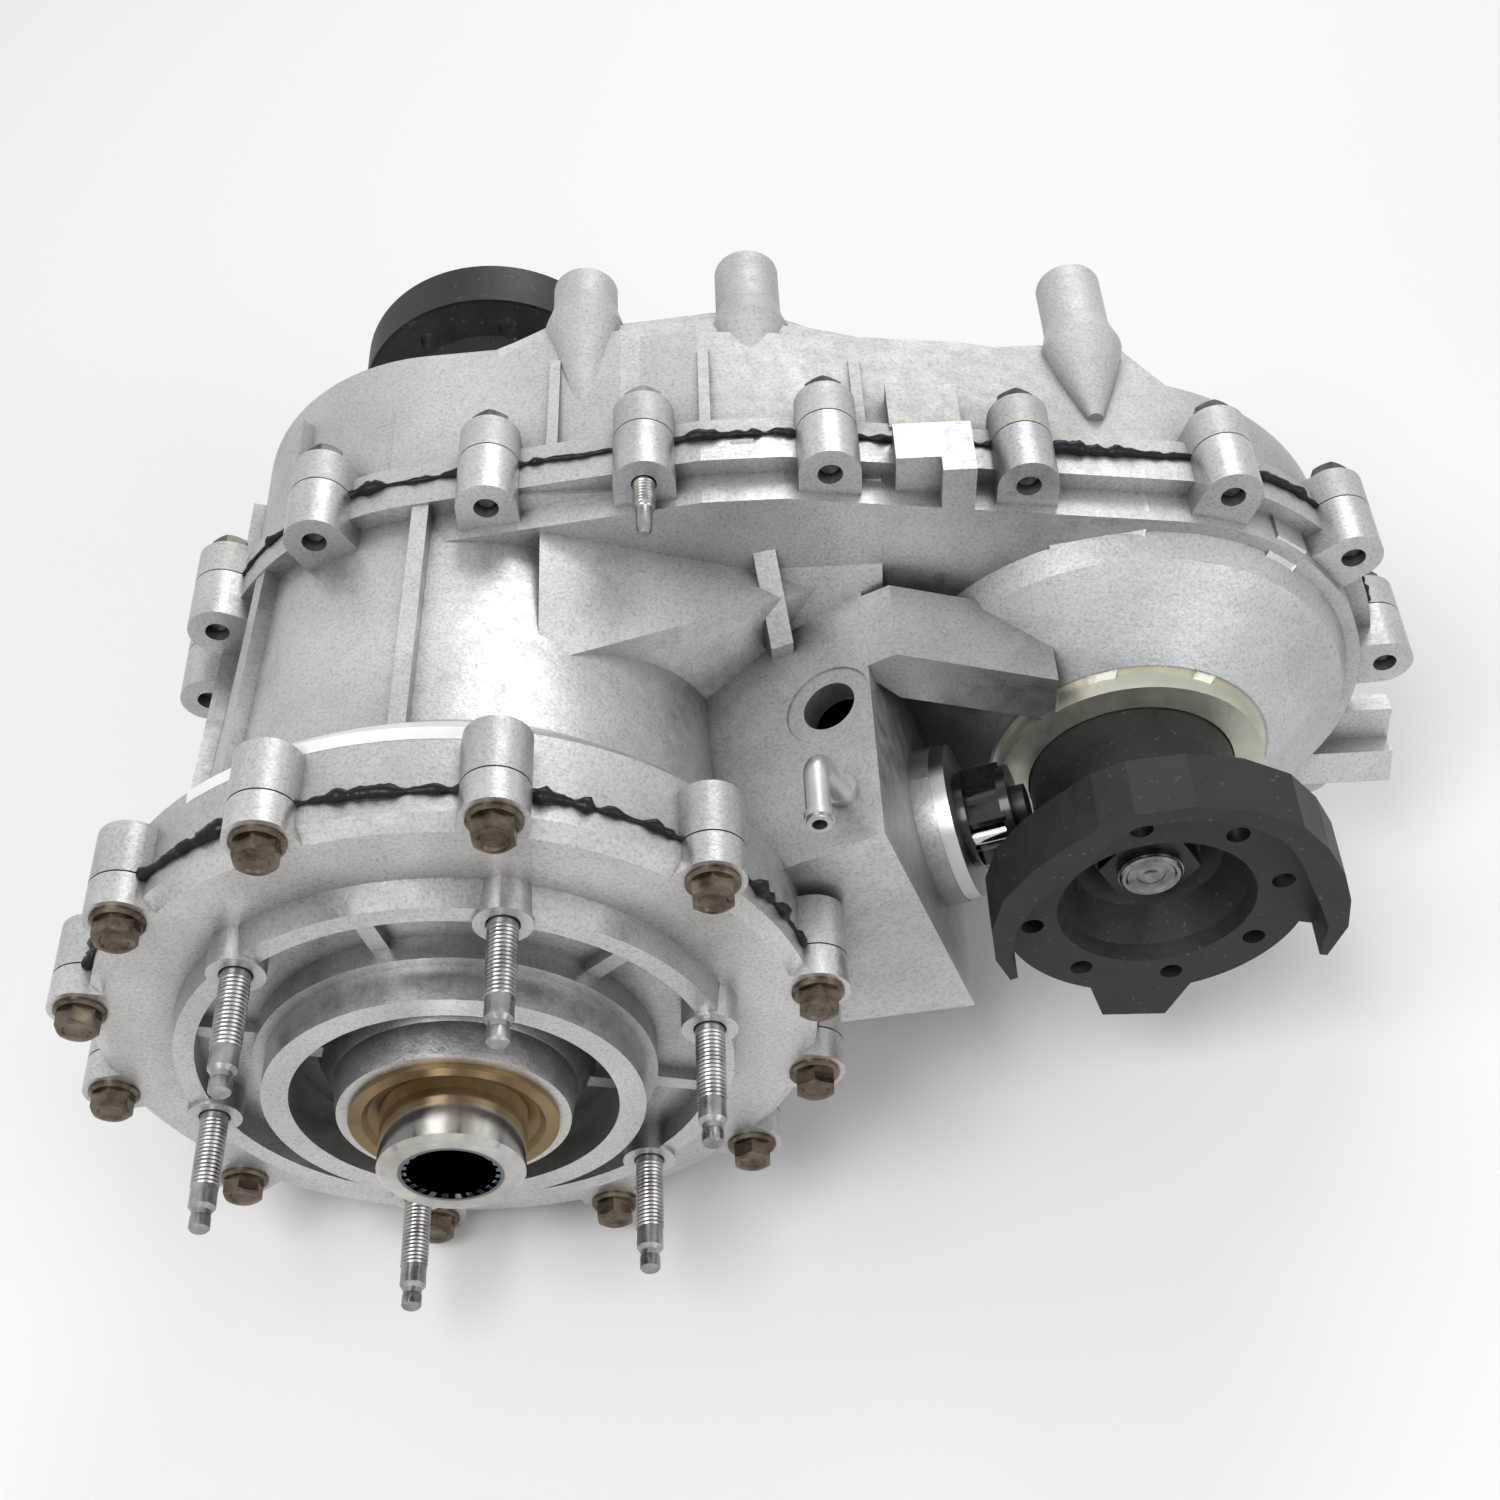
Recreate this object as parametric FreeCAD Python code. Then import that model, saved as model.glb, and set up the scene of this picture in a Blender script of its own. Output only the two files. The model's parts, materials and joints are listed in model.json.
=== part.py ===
"""Two-speed chain-drive transfer case, front output offset to the +X side.

Frame: +Y runs rearwards along the input axis, +Z is up, +X points to the front output.
The origin lies on the input axis, in the plane of the boss faces that meet the transmission.
Lengths are in millimetres and angles in degrees.
"""

import FreeCAD, Part
import math
import os

V = FreeCAD.Vector

# ---------------------------------------------------------------- clearances
RUN = 0.05            # radial running clearance of a shaft in its bearing, bush or seal
GAP = 0.3             # clearance between pieces that move past each other
BOLT_CLEARANCE = 0.5  # radial clearance of a bolt in its through hole

# ---------------------------------------------------------------- axes and planes
OUT_X = 248.0         # front output axis, across from the input axis
OUT_Z = -8.0
RETAINER_FACE_Y = 12.0
RETAINER_JOINT_Y = 24.0
SPLIT_Y = 188.0
SEALANT = 0.6         # thickness of the sealant film in each joint
SEALANT_SQUEEZE = 1.0  # how far the film stands out of the joint

# ---------------------------------------------------------------- case walls
WALL = 7.0
RAIL_R_IN = 99.0      # joint rail round the input axis
RAIL_R_OUT = 101.0    # joint rail round the front output axis
CROWN_X1 = 92.0       # raised crown of the joint rail between the two axes
CROWN_X2 = 121.0
CROWN_Z = 112.5
RAIL_DEPTH = 12.0     # rail of the front case
REAR_RAIL_DEPTH = 9.0
RAIL_STEP = 7.0       # the walls stand back from the rail by this
EAR_R = 11.0
EAR_FRONT_DEPTH = 22.0
EAR_REAR_DEPTH = 15.0
EAR_STAND = 4.0       # bolt centres stand outside the rail line by this
TOP_EAR_STAND = 2.0
REAR_STEP = 8.0

BARREL_RIM_R = 122.0
BARREL_RIM_Y = 56.0
BARREL_R = 96.0
BARREL_SHOULDER_Y = 74.0
BARREL_RIB_T = 6.0
BARREL_RIB_H = 8.0
BARREL_RIB_ANGLES = (95, 137, 160, 204, 228, 262, 300)

# ---------------------------------------------------------------- input retainer
RIM_R = BARREL_RIM_R + 1.0
BOLT_CIRCLE_R = BARREL_RIM_R + 3.0
BOLT_ANGLES = (110.8, 77.4, 43.4, 10.0, -13.6, -38.4, -69.3, -101.7, -137.1, -170.5, 165.5, 140.1)
CASE_EAR_END_Y = 44.0
STUD_CIRCLE_R = 88.9
STUD_COUNT = 6
STUD_ANGLE = 13.1
STUD_R = 5.0
STUD_ROOT_R = 4.25
STUD_SINK_R = STUD_R + 0.6   # countersink at the mouth of each stud hole
STUD_LENGTH = 43.0
STUD_BOSS_R = 9.5
STUD_RING_R = 94.0
STUD_RING_BORE_R = 87.0
PILOT_R = 64.0
PILOT_BASE_R = 68.0
PILOT_BORE_R = 55.0
PILOT_Y = -12.0
PILOT_STEP_Y = 1.0
HUB_R = 39.0
HUB_Y = -17.0
RETAINER_RIBS = 6

# ---------------------------------------------------------------- input shaft and bearing
INPUT_HUB_R = 24.5
INPUT_END_Y = -38.0
SPLINE_R = 16.2
SPLINE_DEPTH = 34.0
SPLINE_TEETH = 24
SPLINE_HEIGHT = 1.5
SEAL_R = 35.0
SEAL_PROUD = 2.0
SEAL_DEPTH = 10.0
INPUT_BEARING_R = 40.0
INPUT_JOURNAL_R = 25.0
INPUT_BEARING_Y = 4.0
INPUT_BEARING_W = 16.0
SNAP_W = 2.0
PILOT_NOSE_R = 13.5   # mainshaft nose in the back of the input gear

# ---------------------------------------------------------------- planetary set
MODULE = 3.0
SUN_TEETH = 28
PLANET_TEETH = 10
RING_TEETH = SUN_TEETH + 2 * PLANET_TEETH
PLANETS = 4
PLANET_ANGLE = 45.0
ADDENDUM = 0.78
DEDENDUM = 1.05
BACKLASH = 0.55
GEAR_Y = 33.0
GEAR_W = 25.0
RING_GEAR_R = 84.0
PLANET_PIN_R = 6.0
CARRIER_R = 69.0
CARRIER_FRONT_T = 4.0
CARRIER_REAR_T = 8.0
CARRIER_CLEAR = 1.5   # axial room between planets and carrier plates

# ---------------------------------------------------------------- range and mode clutches
DOG_TEETH = 19
DOG_ROOT_R = 28.0
DOG_TIP_R = 32.0
DOG_CLEAR = 0.4
RANGE_TRAVEL = 15.0
RANGE_RING_W = 4.0
RANGE_GROOVE_W = 8.0
MODE_TRAVEL = 12.0
MODE_RING_W = 7.0
FORK_T = 7.4
SLEEVE_R = 30.0
COLLAR_R = 41.0
GROOVE_R = 34.0

# ---------------------------------------------------------------- shafts and chain
MAINSHAFT_R = 20.0
HUB_SPLINE_R = 22.0
SPROCKET_TEETH = 32
CHAIN_STRAIGHT_LINKS = 21
CHAIN_W = 30.0
CHAIN_Y = 168.0
LINK_RISE = 4.5
LINK_DROP = 4.5
OUT_SHAFT_R = 20.0
OUT_FRONT_BEARING_Y = 139.0
OUT_FRONT_BEARING_R = 40.0
OUT_BEARING_W = 17.0
OUT_REAR_BEARING_Y = 205.0
OUT_REAR_BEARING_R = 31.0
REAR_BEARING_Y = 232.0
REAR_BEARING_R = 36.0
REAR_BEARING_W = 17.0
PUMP_Y = 206.0
PUMP_W = 20.0
PUMP_R = 45.0

# ---------------------------------------------------------------- front output boss and flanges
BOSS_R = 50.0
BOSS_BORE_R = 39.0
BOSS_Y = 122.0
BOSS_RING_W = 9.0
FLANGE_HUB_R = 38.4
FLANGE_FACE_Y = 62.0
FLANGE_T = 9.0
FLANGE_ENTRY = 2.0    # the hub's skirt enters the boss bore by this
FLANGE_SEAL_R = 28.0  # journal that the output seal runs on
FLANGE_SEAL_L = 12.0
OUT_SEAL_W = 10.0
FLANGE_DISC_R = 56.0
FLANGE_HOLE_CIRCLE_R = 45.3
FLANGE_HOLES = 8
FLANGE_HOLE_R = 4.2
FLANGE_HOLE_ANGLE = 13.3
FLANGE_LIP_H = 14.0
FLANGE_EAR_REACH = 73.0
# the lobed lip as (angle, inner radius, outer radius)
FLANGE_LIP = (
    (-16, 61, 64), (0, 59, 66), (14, 55.5, 66), (28, 55, 67), (42, 58, 69), (56, 63, 72), (72, 65.5, 73), (88, 66, 73.5),
    (104, 66, 73), (114, 60.5, 71), (126, 53, 67), (140, 52.5, 65), (156, 52.5, 64), (172, 53, 62), (190, 54, 60),
    (204, 55, 58),
)
FLANGE_BOWL_R = 36.0
FLANGE_BOWL_DEPTH = 25.0
FLANGE_BORE_R = 16.0
NUT_AF = 36.0
NUT_H = 9.0
SHAFT_END_PROUD = 2.5
LOBE_R = 85.0
BOSS_FACETS = (((113, 103), (111, 88)), ((70, 61), (57, 48)))   # (near, far) angles of its two flats
LOBE_Y = 152.0
LOBE_FRONT_Y = 134.0

# ---------------------------------------------------------------- rear case
REAR_WALL_Y = 259.0   # back wall at REAR_WALL_X, lower towards the front output
REAR_WALL_X = 74.0
REAR_WALL_SLOPE = -0.105
TAIL_R = 52.0
REAR_FLANGE_FACE_Y = 353.0
MOUNT_BOSS_R = 12.5
MOUNT_BOSS_HOLE_R = 4.25
MOUNT_BOSS_HOLE_DEPTH = 28.0
MOUNT_BOSSES = ((48.7, 94.0, 297.0), (112.0, 94.0, 303.0), (238.4, 89.0, 291.0))

BRIDGE_Z = 95.0       # ledge that joins the bracket bosses above the back wall
BRIDGE_T = 26.0
BRIDGE_EDGE = (
    (-23, 238), (-12, 252), (4, 258), (22, 268), (34, 276), (65, 276), (98, 280), (122, 276), (135, 268), (153, 261), (204, 253),
    (222, 256), (254, 257), (263, 245), (277, 227), (291, 207),
)
REAR_RIB_X = (38.0, 94.0, 150.0)

# ---------------------------------------------------------------- shift block, sector and switch
SADDLE_LEFT = (34.0, 106.0, 87.5)     # where the flank facets leave the barrel
SADDLE_RIGHT = (139.0, 163.0, 61.0)
SADDLE_BACK_LEFT = (34.0, 176.0, 97.0)
SADDLE_BACK_RIGHT = (152.0, 176.0, 100.0)
SADDLE_FOOT = (80.0, 136.0, 27.0)
SADDLE_DEPTH = 42.0
BLOCK_TILT = 27.0     # the flat top leans towards the input axis
WALL_LEAN = 18.3      # the side wall leans out towards its foot
RIDGE_X = 147.5
RIDGE_Z = 61.0
BLOCK_FOOT_X = 182.7
BLOCK_FOOT_Z = -45.5
BLOCK_LOW_X = 96.0     # the block's floor runs down to here
BLOCK_LOW_Z = -58.0
BLOCK_Y0 = 47.0
BLOCK_Y1 = 154.0
SECTOR_Y = 101.3
SECTOR_STAND = 13.0   # switch seat stands off the leaning wall by this
SECTOR_DOWN = 72.8    # and lies this far down the wall from the ridge
SECTOR_SHAFT_R = 8.0
SECTOR_PLATE_DEPTH = 55.0
SECTOR_PLATE_T = 5.0
SECTOR_PIN_REACH = 28.0
SECTOR_PIN_R = 3.5
RAIL_R = 7.0          # shift rail
RAIL_Y0 = 50.0
RAIL_Y1 = 216.0
FORK_HUB_R = 11.5
RAIL_TO_PLATE = 26.0
SWITCH_PAD_R = 29.6
SWITCH_DISC_R = 29.0
SWITCH_DISC_T = 5.5
SWITCH_R = 16.5
SWITCH_PLATE_T = 3.5
SWITCH_BODY_H = 12.5
SWITCH_CAP_R = 8.0
SWITCH_CAP_H = 4.5
SWITCH_SCREW_R = 3.0
SWITCH_SCREWS = ((-13.0, 5.0), (-7.0, -12.0))
SECTOR_SHAFT_END = 11.0
PORT_R = 10.0
PORT_Y = 111.0
PORT_DOWN = 16.7      # port centre, down the flat top from the ridge
PORT_FACE_R = 16.5
VENT_Y = 70.0
VENT_DOWN = 13.7
VENT_R = 4.3
VENT_BORE_R = 2.6
VENT_RISE = 13.0
VENT_TIP_Y = 42.0

# ---------------------------------------------------------------- fasteners
BOLT_R = 4.0
BOLT_FLANGE_R = 8.9
BOLT_FLANGE_T = 1.8
BOLT_AF = 13.0
BOLT_HEAD_H = 6.2
CASE_STUD_SHANK_R = 3.5
CASE_STUD_THREAD = 13.0
CASE_STUD_POINT_R = 2.8
CASE_STUD_POINT = 12.0


TAIL_Y = REAR_FLANGE_FACE_Y - (BOSS_Y - FLANGE_FACE_Y)
SKIRT_L = BOSS_Y - FLANGE_FACE_Y + FLANGE_ENTRY


# ================================================================ helpers
def cyl(radius, y0, y1, x=0.0, z=0.0):
    """Cylinder along Y."""
    return Part.makeCylinder(radius, y1 - y0, V(x, y0, z), V(0, 1, 0))


def tube(r_out, r_in, y0, y1, x=0.0, z=0.0):
    """Hollow cylinder along Y."""
    return cyl(r_out, y0, y1, x, z).cut(cyl(r_in, y0 - 1, y1 + 1, x, z))


def turned(profile, x=0.0, z=0.0):
    """Solid of revolution round an axis along Y from (radius, y) points."""
    points = [V(x + r, y, z) for r, y in profile]
    face = Part.Face(Part.makePolygon(points + [points[0]]))
    return face.revolve(V(x, 0, z), V(0, 1, 0), 360)


def slab(points, y0, y1):
    """Prism along Y from (x, z) points."""
    corners = [V(x, y0, z) for x, z in points]
    face = Part.Face(Part.makePolygon(corners + [corners[0]]))
    return face.extrude(V(0, y1 - y0, 0))


def plate_x(points, x0, x1):
    """Prism along X from (y, z) points."""
    corners = [V(x0, y, z) for y, z in points]
    face = Part.Face(Part.makePolygon(corners + [corners[0]]))
    return face.extrude(V(x1 - x0, 0, 0))


def polar(radius, angle, x=0.0, z=0.0):
    """Point on a circle in the XZ plane, the angle running from +X towards +Z."""
    a = math.radians(angle)
    return x + radius * math.cos(a), z + radius * math.sin(a)


def fuse(shapes):
    """One solid from many that meet."""
    first = shapes[0]
    if len(shapes) == 1:
        return first
    return first.multiFuse(shapes[1:]).removeSplitter()


def group(shapes):
    """Separate solids that share a node."""
    solids = []
    for shape in shapes:
        solids.extend(shape.Solids)
    return Part.makeCompound(solids)


def hexagon(across_flats, y0, y1, x=0.0, z=0.0):
    radius = across_flats / math.sqrt(3)
    return slab([polar(radius, 60 * k, x, z) for k in range(6)], y0, y1)


def turn(shape, angle, x=0.0, z=0.0):
    """Copy of a shape turned about an axis along Y, from +X towards +Z."""
    copy = shape.copy()
    copy.rotate(V(x, 0, z), V(0, -1, 0), angle)
    return copy


def toothed(teeth, profile, y0, y1, phase=0.0, x=0.0, z=0.0):
    """Toothed disc: profile lists (radius, offset along the tooth's circle) for one tooth."""
    points = []
    for k in range(teeth):
        centre = phase + 360.0 * k / teeth
        for radius, offset in profile:
            points.append(polar(radius, centre + math.degrees(offset / radius), x, z))
    return slab(points, y0, y1)


def gear_profile(teeth, module, inner=False):
    """Tooth flanks of a spur gear, as (radius, offset) points from one side to the other."""
    pitch_r = teeth * module / 2
    half = (math.pi * module / 2 - BACKLASH) / 2
    lean = math.tan(math.radians(20))
    sign = -1 if inner else 1
    tip = pitch_r + sign * ADDENDUM * module
    root = pitch_r - sign * DEDENDUM * module
    tip_half = half - ADDENDUM * module * lean
    root_half = half + DEDENDUM * module * lean * min(1.0, teeth / 30.0)
    return [(root, -root_half), (tip, -tip_half), (tip, tip_half), (root, root_half)]


def dogs(y0, y1, grow=0.0):
    """Disc with the clutch teeth that every dog ring in the case shares, grown for a socket."""
    half = math.pi * (DOG_ROOT_R + DOG_TIP_R) / 2 / DOG_TEETH / 2 + grow
    profile = [(DOG_ROOT_R + grow, -half), (DOG_TIP_R + grow, -half), (DOG_TIP_R + grow, half), (DOG_ROOT_R + grow, half)]
    return toothed(DOG_TEETH, profile, y0, y1)


def flange_bolt(x, z, seat_y, direction, shank):
    """Hex flange bolt: seat_y is under the flange, direction +1 points the head rearwards."""
    flange = cyl(BOLT_FLANGE_R, 0, BOLT_FLANGE_T)
    head = hexagon(BOLT_AF, BOLT_FLANGE_T, BOLT_FLANGE_T + BOLT_HEAD_H)
    stem = cyl(BOLT_R, -shank, 0)
    bolt = fuse([flange, head, stem])
    if direction < 0:
        bolt.rotate(V(0, 0, 0), V(1, 0, 0), 180)
    bolt.translate(V(x, seat_y, z))
    return bolt


# ================================================================ joint rail outline
def tangent_point(cx, cz, radius, px, pz, side):
    """Where the line from P touches the circle; side +1 takes the upper touch point."""
    dx = px - cx
    dz = pz - cz
    reach = math.hypot(dx, dz)
    base = math.atan2(dz, dx)
    swing = math.acos(radius / reach)
    angle = base + side * swing
    return cx + radius * math.cos(angle), cz + radius * math.sin(angle)


def outline(offset, y):
    """Closed wire of the case outline, grown by offset, in the plane at y."""
    r_in = RAIL_R_IN + offset
    r_out = RAIL_R_OUT + offset
    crown_z = CROWN_Z + offset
    top_in = tangent_point(0, 0, r_in, CROWN_X1, crown_z, 1)
    top_out = tangent_point(OUT_X, OUT_Z, r_out, CROWN_X2, crown_z, -1)
    lean = math.atan2(OUT_Z, OUT_X) - math.asin((r_out - r_in) / math.hypot(OUT_X, OUT_Z))
    low_in = (r_in * math.sin(lean), -r_in * math.cos(lean))
    low_out = (OUT_X + r_out * math.sin(lean), OUT_Z - r_out * math.cos(lean))
    far_in = (-r_in, 0.0)
    far_out = (OUT_X + r_out, OUT_Z)

    def at(point):
        return V(point[0], y, point[1])

    edges = [
        Part.Arc(at(low_in), at(far_in), at(top_in)).toShape(),
        Part.LineSegment(at(top_in), V(CROWN_X1, y, crown_z)).toShape(),
        Part.LineSegment(V(CROWN_X1, y, crown_z), V(CROWN_X2, y, crown_z)).toShape(),
        Part.LineSegment(V(CROWN_X2, y, crown_z), at(top_out)).toShape(),
        Part.Arc(at(top_out), at(far_out), at(low_out)).toShape(),
        Part.LineSegment(at(low_out), at(low_in)).toShape(),
    ]
    return Part.Wire(edges)


def outline_slab(offset, y0, y1):
    return Part.Face(outline(offset, y0)).extrude(V(0, y1 - y0, 0))


def case_ears():
    """Bolt centres round the joint, each with the direction that its ear reaches inwards."""
    ears = []
    for angle in (174, 152, 117, -151, -119, -87):
        x, z = polar(RAIL_R_IN + EAR_STAND, angle)
        ears.append((x, z, angle + 180))
    for angle in (72, 39, 4, -36, -70):
        x, z = polar(RAIL_R_OUT + EAR_STAND, angle, OUT_X, OUT_Z)
        ears.append((x, z, angle + 180))
    for x in (16.0, 72.0, 137.0, 207.0):
        top_z = crown_height(x) + TOP_EAR_STAND
        ears.append((x, top_z, -90))
    for x in (66.0, 137.0, 204.0):
        share = x / OUT_X
        low_z = -(RAIL_R_IN + share * (RAIL_R_OUT - RAIL_R_IN - OUT_Z)) - EAR_STAND
        ears.append((x, low_z, 90))
    return ears


def crown_height(x):
    """Height of the rail's top edge between the two axes."""
    if x < CROWN_X1:
        tx, tz = tangent_point(0, 0, RAIL_R_IN, CROWN_X1, CROWN_Z, 1)
        return tz + (CROWN_Z - tz) * (x - tx) / (CROWN_X1 - tx)
    if x < CROWN_X2:
        return CROWN_Z
    tx, tz = tangent_point(OUT_X, OUT_Z, RAIL_R_OUT, CROWN_X2, CROWN_Z, -1)
    return CROWN_Z + (tz - CROWN_Z) * (x - CROWN_X2) / (tx - CROWN_X2)


EARS = case_ears()
STUD_EAR = 12         # the ear that carries a stud in place of a bolt
DOWEL_R = 3.0
DOWEL_L = 14.0
DOWELS = (polar(RAIL_R_IN - 4, 190), polar(RAIL_R_OUT - 4, 20, OUT_X, OUT_Z))


def ear(x, z, inward, radius, y0, y1, reach):
    """Lug with a round outer end whose sides run straight inwards to the wall."""
    cx, cz = polar(reach, inward)
    sx, sz = polar(radius, inward + 90)
    sides = [(x + sx, z + sz), (x - sx, z - sz), (x - sx + cx, z - sz + cz), (x + sx + cx, z + sz + cz)]
    return fuse([cyl(radius, y0, y1, x, z), slab(sides, y0, y1)])


# ================================================================ leaning axes of the shift block
TILT = math.radians(BLOCK_TILT)
LEAN = math.radians(WALL_LEAN)
TOP_NORMAL = V(-math.sin(TILT), 0, math.cos(TILT))
TOP_DOWN = V(-math.cos(TILT), 0, -math.sin(TILT))
SIDE_NORMAL = V(math.cos(LEAN), 0, math.sin(LEAN))
SIDE_DOWN = V(math.sin(LEAN), 0, -math.cos(LEAN))
RIDGE = V(RIDGE_X, 0, RIDGE_Z)
SWITCH_SEAT = RIDGE + SIDE_DOWN * SECTOR_DOWN + SIDE_NORMAL * SECTOR_STAND + V(0, SECTOR_Y, 0)


def side_cyl(radius, start, end, origin=None):
    """Cylinder along the side wall's normal, from start to end beyond the switch seat."""
    base = origin if origin else SWITCH_SEAT
    return Part.makeCylinder(radius, end - start, base + SIDE_NORMAL * start, SIDE_NORMAL)


def on_top(y, down, height=0.0):
    """Point on the flat top of the shift block."""
    return RIDGE + TOP_DOWN * down + TOP_NORMAL * height + V(0, y, 0)


def side_plate(points, start, end):
    """Prism along the side normal; points are (y, up) measured from the sector axis."""
    corners = [SWITCH_SEAT + SIDE_NORMAL * start + V(0, y, 0) - SIDE_DOWN * up for y, up in points]
    face = Part.Face(Part.makePolygon(corners + [corners[0]]))
    return face.extrude(SIDE_NORMAL * (end - start))


RAIL_AXIS = SWITCH_SEAT - SIDE_NORMAL * (SECTOR_PLATE_DEPTH + RAIL_TO_PLATE) - SIDE_DOWN * SECTOR_PIN_REACH

# ================================================================ gear centres
SUN_R = SUN_TEETH * MODULE / 2
PLANET_R = PLANET_TEETH * MODULE / 2
CARRIER_PITCH_R = SUN_R + PLANET_R
CARRIER_FRONT_Y = GEAR_Y - CARRIER_CLEAR - CARRIER_FRONT_T
CARRIER_REAR_Y = GEAR_Y + GEAR_W + CARRIER_CLEAR
RANGE_RING_Y = CARRIER_REAR_Y + (CARRIER_REAR_T - RANGE_RING_W) / 2 - RANGE_TRAVEL + 1
CENTRES = math.hypot(OUT_X, OUT_Z)
CHAIN_PITCH = CENTRES / CHAIN_STRAIGHT_LINKS
SPROCKET_R = CHAIN_PITCH / (2 * math.sin(math.pi / SPROCKET_TEETH))
CENTRE_ANGLE = math.degrees(math.atan2(OUT_Z, OUT_X))


def planet_phase(angle):
    """Tooth phase that puts a planet in mesh with the sun, whose first tooth lies on +X."""
    sun_pitch = 360.0 / SUN_TEETH
    planet_pitch = 360.0 / PLANET_TEETH
    sun_shift = -angle / sun_pitch
    return angle + 180 - planet_pitch * (sun_shift + 0.5)


def ring_phase():
    """Tooth phase of the annulus, from the first planet."""
    ring_pitch = 360.0 / RING_TEETH
    planet_pitch = 360.0 / PLANET_TEETH
    return PLANET_ANGLE + ring_pitch * ((planet_phase(PLANET_ANGLE) - PLANET_ANGLE) / planet_pitch + 0.5)


# ================================================================ castings
def block_section(inset):
    """Section of the shift block in the XZ plane, drawn in by inset."""
    ridge = RIDGE - TOP_NORMAL * inset - SIDE_NORMAL * inset * math.tan((math.pi / 2 - TILT - LEAN + TILT) / 4)
    foot = (BLOCK_FOOT_X - inset * 1.1, BLOCK_FOOT_Z + inset)
    low = (BLOCK_LOW_X, BLOCK_LOW_Z + inset)
    return [(ridge.x, ridge.z), foot, low, (40.0, low[1]), (40.0, RIDGE_Z - (RIDGE_X - 40.0) * math.tan(TILT) - inset)]


def prism(points, along):
    """Solid between a polygon and its copy moved along a vector; the polygon may be a little twisted."""
    halves = []
    for k in range(1, len(points) - 1):
        corner = Part.Face(Part.makePolygon([points[0], points[k], points[k + 1], points[0]]))
        halves.append(corner.extrude(along))
    return fuse(halves)


def facet(points, depth):
    """Sloping triangular face of a casting, solid down to depth below it."""
    return prism([V(*point) for point in points], V(0, 0, -depth))


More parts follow.
